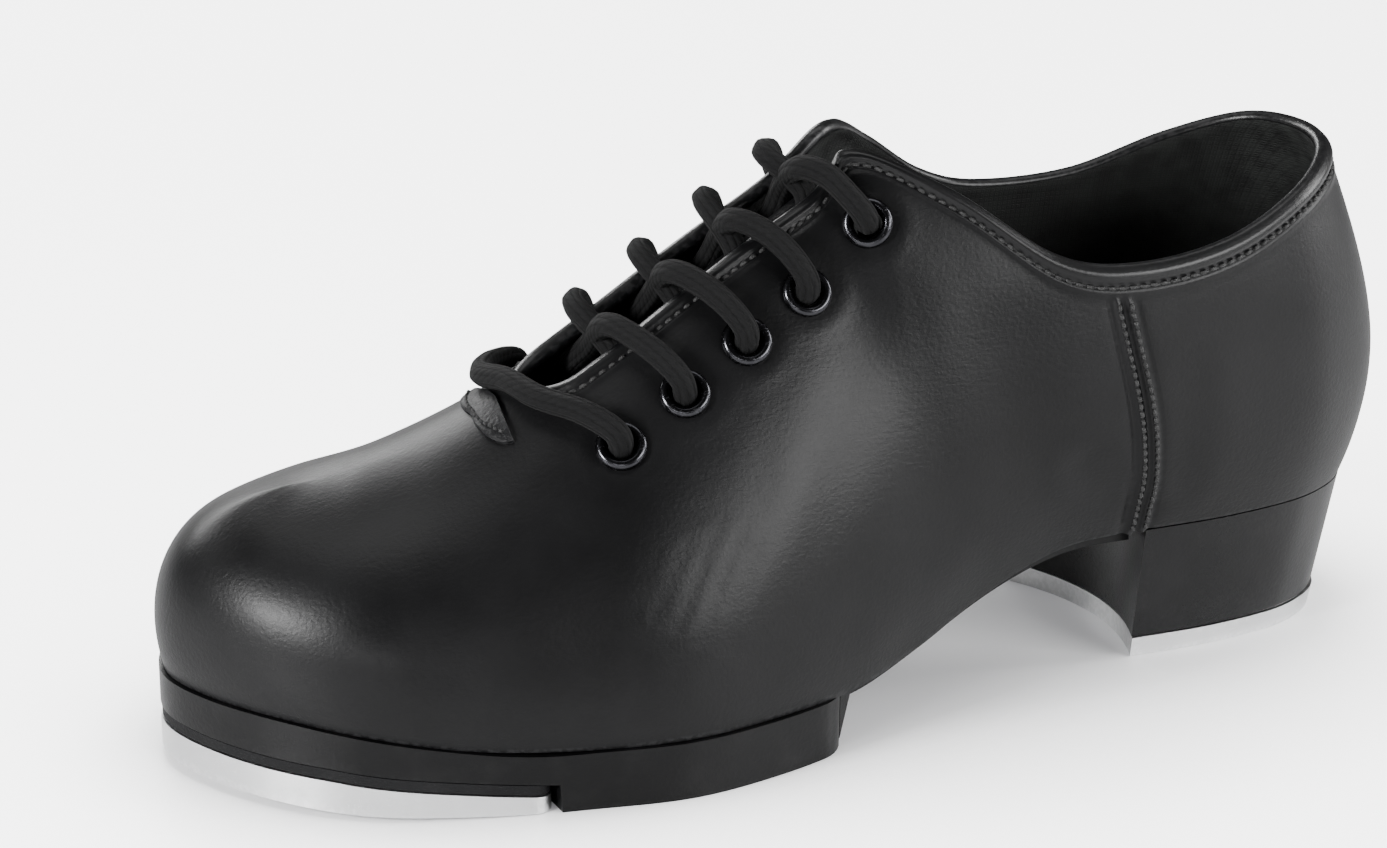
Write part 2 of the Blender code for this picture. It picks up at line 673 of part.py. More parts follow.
def over_throat(station, offset, height):
    """Point over or under the upper, or over the open throat, sideways of the crown by a signed offset."""
    half = half_gap(length_of(last_point(station, 1)[0]), OUTER)
    if station <= THROAT_STATION or abs(offset) >= half:
        side_station = math.copysign(station, -offset)
        rise = rise_at(side_station, abs(offset)) if offset else 1
        point, normal, _ = last_frame(side_station, rise)
        return point + normal * height
    share = (offset / half + 1) / 2
    outer, outer_normal, _ = last_frame(station, rise_at(station, half))
    inner, inner_normal, _ = last_frame(-station, rise_at(-station, half))
    normal = outer_normal + (inner_normal - outer_normal) * share
    normal /= np.linalg.norm(normal)
    tilt = (abs(outer_normal[1]) + abs(inner_normal[1])) / 2
    bulge = half * tilt / math.sqrt(1 - tilt**2) / 2 * (1 - (offset / half) ** 2)
    return outer + (inner - outer) * share + normal * (bulge + height)


def build_tongue():
    """The tongue, hung from under the vamp and deep enough under the facings for the lace."""
    front = station_at(THROAT_BASE + TONGUE_OVERLAP)
    end = station_at(FLARE_START)
    clear = WALL + GAP
    deep = WALL + BINDING_RISE + LACE_DIAMETER + 3 * GAP
    ribs = []
    for station in spread(front, end, TONGUE_STEP) + [end]:
        s = length_of(last_point(station, 1)[0])
        ramp = min((THROAT_BASE + TONGUE_OVERLAP - s) / TONGUE_RAMP, 1)
        depth = clear + (deep - clear) * (3 * ramp**2 - 2 * ramp**3)
        reach = TONGUE_HALF_WIDTH * (TONGUE_FRONT + (1 - TONGUE_FRONT) * ramp)
        offsets = [reach * (2 * j / TONGUE_SPANS - 1) for j in range(TONGUE_SPANS + 1)]
        high = [over_throat(station, offset, -depth) for offset in offsets]
        low = [over_throat(station, offset, -depth - TONGUE_THICKNESS) for offset in offsets]
        ribs.append((low, high))
    return slab("tongue", ribs, LEATHER, 0.6)


def build_stay():
    """The small half-moon stay stitched to the vamp just ahead of the throat."""
    straight = THROAT_BASE + STAY_GAP
    ribs = []
    for share in STAY_SHARES:
        reach = STAY_WIDTH / 2 * math.sqrt(1 - STAY_ROUNDNESS * share**2)
        station = station_at(straight + STAY_LENGTH * share)
        offsets = [reach * (2 * j / STAY_SPANS - 1) for j in range(STAY_SPANS + 1)]
        low = [over_throat(station, offset, GAP) for offset in offsets]
        high = [over_throat(station, offset, GAP + STAY_THICKNESS) for offset in offsets]
        ribs.append((low, high))
    return slab("throat_stay", ribs, LEATHER, 0.4)


def eyelet_places():
    """Station and rise of each eyelet, by its side and its number from the toe."""
    places = {}
    for side in (OUTER, INNER):
        for i in range(EYELET_COUNT):
            s = FIRST_EYELET - i * EYELET_PITCH
            setback = EYELET_SETBACK - i * EYELET_CONVERGE

            def ahead(station, side=side, s=s, setback=setback):
                rise = below_rim(-side * station, setback)
                return s - length_of(last_point(-side * station, rise)[0])

            station = -side * solve(ahead, THROAT_STATION + 10 * NEARBY, LAST_EYELET_STATION)
            places[side, i + 1] = (station, below_rim(station, setback))
    return places


def turned(name, profile, point, normal, colour, roughness, metallic):
    """A ring turned about an axis: the profile holds its radii and its heights along the axis."""
    turn = Vector(normal).to_track_quat("Z", "Y").to_matrix()
    points = []
    for i in range(EYELET_SIDES):
        angle = 2 * math.pi * i / EYELET_SIDES
        for radius, height in profile:
            local = turn @ Vector((radius * math.cos(angle), radius * math.sin(angle), height))
            points.append(np.array(point) + np.array(local))
    faces = grid_faces(EYELET_SIDES, len(profile), closed_rows=True, closed_columns=True)
    return mesh_object(name, points, faces, colour, roughness, metallic, smooth=35)


def build_eyelets(upper, places):
    """The eyelets in their holes: a rolled flange outside, a barrel through the wall and a washer inside."""
    bore = LACE_DIAMETER / 2 + LACE_CLEARANCE
    barrel = bore + EYELET_METAL
    inside = -(WALL + 3 * GAP)
    profile = [
        (bore, EYELET_RISE * EYELET_LIP),
        ((bore + EYELET_RADIUS) / 2, EYELET_RISE),
        (EYELET_RADIUS, EYELET_SEAT),
        (barrel, EYELET_SEAT),
        (barrel, inside),
        (EYELET_RADIUS * WASHER_SHARE, inside),
        (EYELET_RADIUS * WASHER_SHARE, inside - EYELET_METAL),
        (bore, inside - EYELET_METAL),
    ]
    cutters = bmesh.new()
    for (side, number), (station, rise) in places.items():
        point, normal, _ = last_frame(station, rise)
        name = f"eyelet_{'outer' if side == OUTER else 'inner'}_{number}"
        turned(name, profile, point, normal, GUNMETAL, 0.3, 0.9)
        turn = Vector(normal).to_track_quat("Z", "Y").to_matrix().to_4x4()
        place = Matrix.Translation(Vector(point)) @ turn
        bmesh.ops.create_cone(
            cutters, cap_ends=True, segments=EYELET_SIDES, radius1=barrel + GAP, radius2=barrel + GAP,
            depth=8 * WALL, matrix=place,
        )
    mesh = bpy.data.meshes.new("eyelet_holes")
    cutters.to_mesh(mesh)
    cutters.free()
    holes = bpy.data.objects.new("eyelet_holes", mesh)
    bpy.context.collection.objects.link(holes)
    holes.hide_render = True
    holes.display_type = "WIRE"
    cut = upper.modifiers.new("eyelet holes", "BOOLEAN")
    cut.object = holes
    cut.operation = "DIFFERENCE"


def smooth_path(route, steps):
    """Points along a smooth curve through a route's points."""
    path = []
    padded = [2 * route[0] - route[1]] + route + [2 * route[-1] - route[-2]]
    spans = len(route) - 1
    for i in range(steps + 1):
        place = min(i / steps * spans, spans - 1e-9)
        k = int(place)
        t = place - k
        a, b, c, d = padded[k : k + 4]
        path.append(
            0.5 * (2 * b + (c - a) * t + (2 * a - 5 * b + 4 * c - d) * t**2 + (3 * b - a - 3 * c + d) * t**3)
        )
    return path


def lace_tube(name, route):
    """A length of lace along a route, as a curve with a round bevel and filled caps, turned into a mesh."""
    curve = bpy.data.curves.new(name, "CURVE")
    curve.dimensions = "3D"
    curve.bevel_depth = LACE_DIAMETER / 2
    curve.bevel_resolution = 2
    curve.use_fill_caps = True
    path = smooth_path(route, LACE_STEPS)
    spline = curve.splines.new("POLY")
    spline.points.add(len(path) - 1)
    for point, place in zip(spline.points, path):
        point.co = (*place, 1)
    item = bpy.data.objects.new(name + "_route", curve)
    bpy.context.collection.objects.link(item)
    mesh = bpy.data.meshes.new_from_object(item.evaluated_get(bpy.context.evaluated_depsgraph_get()))
    mesh.name = name
    bpy.data.objects.remove(item)
    bpy.data.curves.remove(curve)
    work = bmesh.new()
    work.from_mesh(mesh)
    bmesh.ops.remove_doubles(work, verts=work.verts, dist=MERGE)
    bmesh.ops.recalc_face_normals(work, faces=work.faces)
    work.to_mesh(mesh)
    work.free()
    mesh.materials.clear()
    mesh.shade_smooth()
    return bpy.data.objects.new(name, mesh)


# One row for each point of a pass of lace: along is its share of the way from its own eyelet's section to the
# next one's, across its offset from the crown as a share of the eyelet's, level its height: 1 lies over the
# facing, -1 under it and 0 half way between; arch is what it stands higher, in lace diameters.
LacePoint = namedtuple("LacePoint", "along across level arch")
CROSSING = [
    LacePoint(0.00, 1.00, 1.0, 0.16),
    LacePoint(0.14, 0.80, 1.0, 0.42),
    LacePoint(0.34, 0.55, 1.0, 0.25),
    LacePoint(0.50, 0.27, 0.9, 0.00),
    LacePoint(0.62, -0.27, -0.9, 0.00),
    LacePoint(0.74, -0.55, -1.0, -0.05),
    LacePoint(0.84, -0.72, -1.0, -0.10),
]
BAR = [
    LacePoint(0.00, 1.00, 1.0, 0.16),
    LacePoint(-0.20, 0.72, 1.0, 0.36),
    LacePoint(-0.62, 0.40, 1.0, 0.10),
    LacePoint(-0.78, 0.00, 1.0, -0.05),
    LacePoint(-0.62, -0.40, 1.0, 0.10),
    LacePoint(-0.20, -0.72, 1.0, 0.36),
    LacePoint(0.00, -1.00, 1.0, 0.16),
]


def lace_route(rows, places, side, start, end):
    """A route through a table's points, from one eyelet of a side towards another."""
    over = BINDING_RISE + GAP + LACE_DIAMETER / 2
    under = -(WALL + BINDING_RISE + GAP + LACE_DIAMETER / 2)
    route = []
    for row in rows:
        own = side if row.across >= 0 else -side
        (first, rise), (second, _) = places[own, start], places[own, end]
        spread_out = abs(last_point(first, rise)[1] - crown_offset(first))
        station = abs(first) + row.along * (abs(second) - abs(first))
        height = (over + under) / 2 + (over - under) / 2 * row.level + row.arch * LACE_DIAMETER
        route.append(over_throat(station, side * row.across * spread_out, height))
    return route


def build_laces(places):
    """The lace between the eyelets: one bar across the lowest pair, and a crossing above each pair."""
    bar = lace_tube("lace_bar", lace_route(BAR, places, OUTER, 1, 2))
    finished(bar, LACE_BLACK, 0.85)
    for number in range(1, EYELET_COUNT):
        name = f"lace_crossing_{number}"
        first = lace_tube(name, lace_route(CROSSING, places, OUTER, number + 1, number))
        second = lace_tube(name + "_second", lace_route(CROSSING, places, INNER, number + 1, number))
        finished(first, LACE_BLACK, 0.85)
        bpy.context.collection.objects.link(second)
        second.hide_render = True
        second.display_type = "WIRE"
        joint = first.modifiers.new("joined", "BOOLEAN")
        joint.object = second
        joint.operation = "UNION"


def main():
    """Clear the scene and build every piece."""
    for item in list(bpy.data.objects):
        bpy.data.objects.remove(item)
    places = eyelet_places()
    build_eyelets(build_upper(), places)
    build_outsole()
    build_toe_tap()
    build_heel()
    build_insole()
    build_tongue()
    build_stay()
    build_laces(places)


main()
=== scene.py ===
"""Left tap shoe, dressed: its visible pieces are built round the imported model, with floor, lights and camera.

Metres, +Z up. The toe points to -X and the outer side of the foot is at -Y. Lengths along the shoe start at
the back of the heel. Stations count round the last from the toe tip: positive outside, negative inside.
"""

import math
from collections import namedtuple

import bmesh
import bpy
import numpy as np
from bpy.props import FloatProperty, FloatVectorProperty, PointerProperty
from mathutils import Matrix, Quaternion, Vector


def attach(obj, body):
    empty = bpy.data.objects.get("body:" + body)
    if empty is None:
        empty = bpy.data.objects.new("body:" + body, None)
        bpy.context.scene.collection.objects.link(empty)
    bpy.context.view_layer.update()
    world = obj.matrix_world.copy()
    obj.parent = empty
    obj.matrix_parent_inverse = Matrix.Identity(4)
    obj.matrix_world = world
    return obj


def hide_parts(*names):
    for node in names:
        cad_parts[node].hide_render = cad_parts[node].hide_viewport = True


bl_info = {
    "name": "Tap Shoe",
    "version": (1, 0, 0),
    "blender": (4, 5, 0),
    "location": "View3D > Sidebar > Tap Shoe",
    "description": "Builds the visible pieces of a laced tap shoe round its packed model",
    "category": "Object",
}

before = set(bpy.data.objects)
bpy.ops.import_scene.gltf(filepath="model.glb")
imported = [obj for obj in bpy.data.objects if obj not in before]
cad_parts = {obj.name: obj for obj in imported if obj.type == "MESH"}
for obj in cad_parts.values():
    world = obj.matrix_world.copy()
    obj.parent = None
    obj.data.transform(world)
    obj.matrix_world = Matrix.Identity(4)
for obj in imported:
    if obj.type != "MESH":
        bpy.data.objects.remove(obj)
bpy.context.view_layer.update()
MM = 0.001

# Sizes of the last and of the pieces on it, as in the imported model.
LENGTH = 0.2668
BALL_WIDTH = 0.090
HEEL_WIDTH = 0.062
INSTEP_HEIGHT = 0.1105
BACK_HEIGHT = 0.0710
WALL = 0.0020
LASTING_MARGIN = 0.009
HEEL_HEIGHT = 0.0300
SEAT_DROP = 0.0010
BALL_SOLE = 0.0118
TOE_SPRING = 0.0067
TOE_LIFT = 0.0020
HEEL_CENTRE = 0.038
BREAST = 0.0675
FOREPART_END = 0.140
WAIST_END = 0.139
SPRING_START = 0.200
SPRING_END = 0.256
GAP = 0.0003
THROAT_BASE = 0.1930
THROAT_WIDTH = 0.0185
THROAT_LAG = 0.0060
FLARE_START = 0.1330
FLARE_RADIUS = 0.0140
FLARE_SLOPE = 0.6
BINDING_RISE = 0.0005
EYELET_COUNT = 5
FIRST_EYELET = 0.1825
EYELET_PITCH = 0.0139
EYELET_SETBACK = 0.0185
EYELET_CONVERGE = 0.0011
EYELET_RADIUS = 0.0050
LACE_DIAMETER = 0.0048
LACE_CLEARANCE = 0.0005
TONGUE_THICKNESS = 0.0022
TONGUE_HALF_WIDTH = 0.026
TONGUE_OVERLAP = 0.012
TONGUE_RAMP = 0.014
STAY_LENGTH = 0.0050
STAY_WIDTH = 0.0260
STAY_GAP = 0.0042
STAY_THICKNESS = 0.0007
SEAM_STATION = 11.87
SEAM_BOW = 0.08
SEAM_REACH = 1.6
SEAM_RAKE = 0.16
WAIST_SOLE = 0.0040
WAIST_GAP = 0.0008
WAIST_INSET = 0.0060
FOREPART_SLOPE = 0.0040
SOLE_EDGE = 0.0008
SOLE_CORNER = 0.0070
TOE_TAP_START = 0.2028
TOE_TAP_BACK = 0.0030
TOE_TAP_FRONT = 0.0062
TOE_TAP_CORNER = 0.0050
TAP_PAD_THICKNESS = 0.0020
RECESS_DRAFT = 0.0004
HEEL_TAP_THICKNESS = 0.0042
HEEL_TAP_LIP = 0.0005
HEEL_TAPER = 0.0055
BREAST_HOLLOW = 0.0075
BREAST_SKEW = 0.0040

# Shares that shape the pieces: how far the level seat runs past the breast, how soon the toe tap has its
# full thickness, how fast the breast's hollow fades, how much more the heel's sides taper than its back,
# the tongue's width at its front and how round the stay is.
SEAT_REACH = 1.08
TAP_RAMP = 1.6
HOLLOW_FADE = 1.8
SIDE_TAPER = 1.5
TONGUE_FRONT = 0.62
STAY_ROUNDNESS = 0.93

# One row for each section of the last, from the toe tip round one side to the back of the heel.
Section = namedtuple(
    "Section",
    "x outer inner heel top_x lag top_outer top_inner ridge top step back foot_out foot_up top_out top_down",
)
SECTIONS = [
    Section(0.983, -0.078, 0.078, 0, 0.888, 0, 0, 0, 0.050, 0.490, 0, 0, 0.061, 0.25, 0.19, 0),
    Section(0.968, 0.083, 0.233, 0, 0.881, 0, 0, 0, 0.050, 0.491, 0, 0, 0.061, 0.25, 0.21, 0),
    Section(0.933, 0.248, 0.367, 0, 0.866, 0, 0, 0, 0.044, 0.495, 0, 0, 0.061, 0.26, 0.24, 0),
    Section(0.884, 0.378, 0.428, 0, 0.840, 0, 0, 0, 0.034, 0.508, 0, 0, 0.056, 0.27, 0.28, 0),
    Section(0.817, 0.456, 0.461, 0, 0.795, 0, 0, 0, 0.005, 0.540, 0, 0, 0.056, 0.28, 0.28, 0),
    Section(0.739, 0.511, 0.467, 0, 0.735, 0, 0, 0, -0.035, 0.620, 0, 0, 0.056, 0.30, 0.25, 0),
    Section(0.664, 0.550, 0.444, 0, 0.664, 0, 0, 0, -0.045, 0.740, 0, 0, 0.056, 0.34, 0.22, 0.03),
    Section(0.590, 0.522, 0.394, 0, 0.590, 0, 0, 0, -0.045, 0.870, 0, 0, 0.072, 0.35, 0.20, 0.05),
    Section(0.519, 0.458, 0.350, 0, 0.515, 0, 0, 0, -0.040, 0.995, 0, 0, 0.084, 0.34, 0.20, 0.08),
    Section(0.455, 0.560, 0.445, 1, 0.474, 1, 0.180, 0.180, -0.020, 1.015, 0, 0, 0.108, 0.33, 0.17, 0.14),
    Section(0.388, 0.480, 0.415, 1, 0.410, 0.8, 0.380, 0.370, 0, 0.940, 0, 0, 0.128, 0.31, 0.11, 0.21),
    Section(0.317, 0.455, 0.415, 1, 0.340, 0.4, 0.520, 0.490, 0, 0.855, 0.035, 1, 0.130, 0.27, 0.06, 0.24),
    Section(0.246, 0.480, 0.465, 1, 0.276, 0, 0.575, 0.515, 0, 0.815, 0.010, 1, 0.105, 0.25, 0.035, 0.22),
    Section(0.168, 0.490, 0.485, 1, 0.194, 0, 0.560, 0.480, 0, 0.850, -0.015, 1, 0.095, 0.26, 0.040, 0.24),
    Section(0.090, 0.440, 0.440, 1, 0.116, 0, 0.455, 0.400, 0, 0.945, -0.010, 1, 0.100, 0.29, 0.070, 0.27),
    Section(0.035, 0.275, 0.275, 1, 0.064, 0, 0.255, 0.240, 0, 1.010, 0, 1, 0.115, 0.31, 0.110, 0.29),
    Section(0.017, 0, 0, 1, 0.046, 0, 0, 0, 0, 1.025, 0, 1, 0.125, 0.32, 0.120, 0.31),
]
BACK = len(SECTIONS) - 1
RING = 2 * BACK
OUTER, INNER = -1, 1
CROWN_END = sum(1 for row in SECTIONS if not row.top_outer and not row.back) - 2

# Where a search for a place on the last begins and ends, in stations or rises, and how often it halves.
CROWN_STATIONS = (0.5, 8.5)
FLARE_STATIONS = (8, 10)
LAST_EYELET_STATION = 9.5
LOWEST_RIM = 0.45
HALVINGS = 40

# How finely the dressed pieces are cut.
PLAIN_ROWS = 56
LINING_ROWS = 30
BAND_PLACES = [0.35, 0.75, 1.2, 1.7, 2.2, 2.7, 3.1, 3.4, 3.7, 4.05, 4.5, 5.0, 5.6, 6.4]
FACING_BAND = 0.78
SIDE_ROWS = (0.12, 0.35, 0.65, 0.88)
TOE_COLUMNS, BASE_COLUMNS, FACING_COLUMNS, FLARE_COLUMNS, QUARTER_COLUMNS, SEAM_COLUMNS, HEEL_COLUMNS = (
    84, 15, 26, 22, 24, 27, 46
)
LACE_STEP = 0.0006
LACE_SIDES = 24
RING_SIDES = 48

# The corner where facing and collar meet: its station, how far the rounding reaches and over how many steps.
RIM_CORNER_STATION = 9.3
RIM_CORNER_REACH = 0.75
RIM_BLEND = 0.42
RIM_STEPS = 9


# The last, worked out for whole arrays of places at once.


def length_of(x):
    """Distance of a point from the back of the heel."""
    return HEEL_CENTRE - x


def seat_height(x):
    """Height of the last's underside: heel seat, waist, ball and toe spring."""
    s = length_of(np.asarray(x, float))
    slope = -SEAT_DROP / BREAST
    seat_end = BREAST * SEAT_REACH
    start = HEEL_HEIGHT + SEAT_DROP / 2
    share = np.clip((s - SPRING_START) / (SPRING_END - SPRING_START), 0, 1)
    front = BALL_SOLE + TOE_SPRING * (3 * share**2 - 2 * share**3)
    run = WAIST_END - seat_end
    t = np.clip((s - seat_end) / run, 0, 1)
    hold = 2 * t**3 - 3 * t**2 + 1
    leave = t**3 - 2 * t**2 + t
    waist = hold * (start + slope * seat_end) + (1 - hold) * BALL_SOLE + leave * run * slope
    return np.where(s <= seat_end, start + slope * s, np.where(s >= WAIST_END, front, waist))


def section_ends(row, side):
    """The foot and the top of one section on one side."""
    width = HEEL_WIDTH if row.heel else BALL_WIDTH
    outer = side == OUTER
    foot_x = HEEL_CENTRE - row.x * LENGTH
    foot_y = side * (row.outer if outer else row.inner) * width
    top_y = side * (row.top_outer if outer else row.top_inner) * width + row.ridge * BALL_WIDTH
    top_z = HEEL_HEIGHT + row.top * BACK_HEIGHT if row.back else row.top * INSTEP_HEIGHT
    top_x = HEEL_CENTRE - row.top_x * LENGTH
    if not outer:
        top_x += row.lag * THROAT_LAG
        top_z += row.step * BACK_HEIGHT
    return np.array([foot_x, foot_y, float(seat_height(foot_x))]), np.array([top_x, top_y, top_z])


def last_controls():
    """Four control points of each section, in ring order: toe tip, outer side, heel's back, inner side."""
    order = [(k, OUTER) for k in range(BACK + 1)]
    order += [(k, INNER) for k in range(BACK - 1, 0, -1)]
    ends = [section_ends(SECTIONS[k], side) for k, side in order]
    controls = []
    for i, (k, side) in enumerate(order):
        row = SECTIONS[k]
        foot, top = ends[i]
        run = ends[(i + 1) % RING][0] - ends[i - 1][0]
        out = np.array([run[1], -run[0], 0.0]) / math.hypot(run[0], run[1])
        climb = 0.0
        if not row.top_outer and not row.back:
            near = section_ends(SECTIONS[max(k - 1, 0)], OUTER)[1]
            far = section_ends(SECTIONS[k + 1], OUTER)[1]
            climb = (far[2] - near[2]) / (far[0] - near[0])
        foot_handle = out * row.foot_out + np.array([0, 0, row.foot_up])
        top_handle = out * row.top_out + np.array([0, 0, climb * out[0] * row.top_out - row.top_down])
        controls.append([foot, foot + foot_handle * BALL_WIDTH, top + top_handle * BALL_WIDTH, top])
    return np.array(controls)


CONTROLS = last_controls()
RIDGES = np.array([row.ridge * BALL_WIDTH for row in SECTIONS])


def along_ring(values, station):
    """Smooth curve through the ring's values, read at an array of stations."""
    i = np.floor(station).astype(int)
    t = (station - i).reshape(np.shape(station) + (1,) * (values.ndim - 1))
    a, b, c, d = (values[(i + n) % RING] for n in (-1, 0, 1, 2))
    return 0.5 * (2 * b + (c - a) * t + (2 * a - 5 * b + 4 * c - d) * t**2 + (3 * b - a - 3 * c + d) * t**3)


def skin(station, rise):
    """Points of the upper's outside: rise is 0 at the foot and 1 at the top or the crown."""
    station, rise = np.broadcast_arrays(np.asarray(station, float), np.asarray(rise, float))
    q = 1 - rise
    weights = np.stack([q**3, 3 * q * q * rise, 3 * q * rise**2, rise**3], -1)
    return (along_ring(CONTROLS, station) * weights[..., None]).sum(-2)


def unit(vectors):
    """Vectors brought to a length of one."""
    return vectors / np.linalg.norm(vectors, axis=-1, keepdims=True)


def run_along(line):
    """How far each point of a line lies from its first one, along the line."""
    return np.concatenate([[0], np.cumsum(np.linalg.norm(np.diff(line, axis=0), axis=1))])


def skin_frame(station, rise):
    """Points, outward normals and upward tangents of the upper's outside."""
    step = 0.01
    station, rise = np.broadcast_arrays(np.asarray(station, float), np.asarray(rise, float))
    low, high = np.maximum(rise - step, 0), np.minimum(rise + step, 1)
    along = skin(station + step, rise) - skin(station - step, rise)
    up = skin(station, high) - skin(station, low)
    ahead, behind = skin(abs(station) + step, 1), skin(np.maximum(abs(station) - step, 0), 1)
    on_crown = ((rise > 1 - 1e-9) & (abs(station) < CROWN_END))[..., None]
    along = np.where(on_crown, ahead - behind, along)
    up = np.where(on_crown, np.array([0.0, 1.0, 0.0]), up)
    return skin(station, rise), unit(np.cross(along, up)), up / (high - low)[..., None]


def crown_offset(station):
    """Sideways place of the crown at a section."""
    return np.interp(abs(np.asarray(station, float)), np.arange(BACK + 1), RIDGES)


def half_gap(s, side):
    """Half the throat's width at a length: round at its base, parallel, then flared at the collar."""
    half = THROAT_WIDTH / 2
    centre = THROAT_BASE - half
    past = np.maximum(FLARE_START - np.where(side == INNER, THROAT_LAG, 0) - s, 0)
    curved = np.minimum(past, FLARE_SLOPE * FLARE_RADIUS)
    flared = half + curved**2 / (2 * FLARE_RADIUS) + (past - curved) * FLARE_SLOPE
    return np.where(s >= centre, np.sqrt(np.maximum(half**2 - (s - centre) ** 2, 0)), flared)


def solve(function, low, high, shape=()):
    """Where a function that climbs from below zero to above it crosses zero."""
    low, high = np.full(shape, float(low)), np.full(shape, float(high))
    for _ in range(HALVINGS):
        middle = (low + high) / 2
        below = function(middle) < 0
        low, high = np.where(below, middle, low), np.where(below, high, middle)
    return (low + high) / 2


def station_at(s):
    """Station, without its side, whose crown is at a length."""
    s = np.asarray(s, float)
    return solve(lambda station: s - length_of(skin(station, 1)[..., 0]), *CROWN_STATIONS, s.shape)


THROAT_STATION = float(station_at(THROAT_BASE))


def past_flare(station, side):
    """How far sideways the topline at a station lies beyond the flared throat."""
    top = skin(-side * station, 1)
    return abs(top[..., 1] - crown_offset(station)) - half_gap(length_of(top[..., 0]), side)


FLARE_END = {
    side: float(solve(lambda station, side=side: past_flare(station, side), *FLARE_STATIONS))
    for side in (OUTER, INNER)
}


def side_of(station):
    """Which side of the shoe a station is on."""
    return np.where(station > 0, OUTER, INNER)


def rise_at(station, offset):
    """Rise, on a section, of the point that lies sideways of the crown by an offset."""
    crown, shape = crown_offset(station), np.shape(station)
    return solve(lambda rise: offset - abs(skin(station, rise)[..., 1] - crown), LOWEST_RIM, 1, shape)


def rim_rise(station):
    """Where the upper ends on a section: 1 on the closed vamp and on the collar, less beside the throat."""
    station = np.asarray(station, float)
    end = np.where(station > 0, FLARE_END[OUTER], FLARE_END[INNER])
    closed = (abs(station) <= THROAT_STATION) | (abs(station) >= end)

    def inside(rise):
        point = skin(station, rise)
        half = half_gap(length_of(point[..., 0]), side_of(station))
        return half - abs(point[..., 1] - crown_offset(station))

    return np.where(closed, 1.0, solve(inside, LOWEST_RIM, 1, station.shape))


def soft_rim(station):
    """The rim's rise with the corner between facing and collar rounded off."""
    station = np.asarray(station, float)
    steps = np.linspace(-1, 1, RIM_STEPS)
    weights = np.cos(steps * math.pi / 2) + 0.05
    near = np.exp(-(((abs(station) - RIM_CORNER_STATION) / RIM_CORNER_REACH) ** 4))
    spread = steps * RIM_BLEND * near[..., None]
    blended = (rim_rise(station[..., None] + spread) * weights).sum(-1) / weights.sum()
    return np.where(near > 0.01, blended, rim_rise(station))


def below_rim(station, setback, steps=10, rim=soft_rim):
    """Rise, on a section, of the point that lies below the upper's rim by a length of leather."""
    rise = rim(station)
    for _ in range(steps):
        rise = rise - setback / steps / np.linalg.norm(skin_frame(station, rise)[2], axis=-1)
    return rise


def bowed(station, rise):
    """Station of a column at a rise: the columns near the rear seam follow its bow."""
    near = np.exp(-(((abs(station) - SEAM_STATION) / SEAM_REACH) ** 2))
    shift = (SEAM_BOW * np.sin(math.pi * rise) - SEAM_RAKE * rise) * near
    return station + np.where(station < 0, -1, 1) * shift


SEAM_METRES = float(np.linalg.norm(skin(SEAM_STATION + 0.5, 0.5) - skin(SEAM_STATION - 0.5, 0.5)))


def outward(station):
    """Level direction out of the foot's edge."""
    run = along_ring(CONTROLS, station + 0.02)[..., 0, :] - along_ring(CONTROLS, station - 0.02)[..., 0, :]
    return unit(np.stack([run[..., 1], -run[..., 0], 0 * run[..., 0]], -1))


def smoothstep(value, low, high):
    """0 below a range, 1 above it and a smooth climb inside it."""
    share = np.clip((value - low) / (high - low), 0, 1)
    return share * share * (3 - 2 * share)


def over_throat(station, offset, height):
    """Points over or under the upper, or over the open throat, sideways of the crown by signed offsets."""
    station, offset, height = np.broadcast_arrays(*(np.asarray(v, float) for v in (station, offset, height)))
    half = np.maximum(half_gap(length_of(skin(station, 1)[..., 0]), OUTER), 1e-5)
    own = np.where(offset > 0, -station, station)
    rise = np.where(offset == 0, 1.0, rise_at(own, abs(offset)))
    point, normal, _ = skin_frame(own, rise)
    direct = point + normal * height[..., None]
    share = ((offset / half + 1) / 2)[..., None]
    outer, outer_normal, _ = skin_frame(station, rise_at(station, half))
    inner, inner_normal, _ = skin_frame(-station, rise_at(-station, half))
    upright = unit(outer_normal + (inner_normal - outer_normal) * share)
    tilt = np.minimum((abs(outer_normal[..., 1]) + abs(inner_normal[..., 1])) / 2, 0.95)
    bulge = half * tilt / np.sqrt(1 - tilt**2) / 2 * (1 - (offset / half) ** 2)
    across = outer + (inner - outer) * share + upright * (bulge + height)[..., None]
    on_leather = (station <= THROAT_STATION) | (abs(offset) >= half)
    return np.where(on_leather[..., None], direct, across)


def eyelet_places():
    """Station and rise of each eyelet, by its side and its number from the toe."""
    places = {}
    for side in (OUTER, INNER):
        for i in range(EYELET_COUNT):
            s = FIRST_EYELET - i * EYELET_PITCH
            setback = EYELET_SETBACK - i * EYELET_CONVERGE

            def ahead(station, side=side, s=s, setback=setback):
                rise = below_rim(-side * station, setback, rim=rim_rise)
                return s - length_of(skin(-side * station, rise)[..., 0])

            station = -side * solve(ahead, THROAT_STATION + 0.1, LAST_EYELET_STATION)
            places[side, i + 1] = (float(station), float(below_rim(station, setback, rim=rim_rise)))
    return places


PLACES = eyelet_places()


# Soft troughs and ridges in the leather.

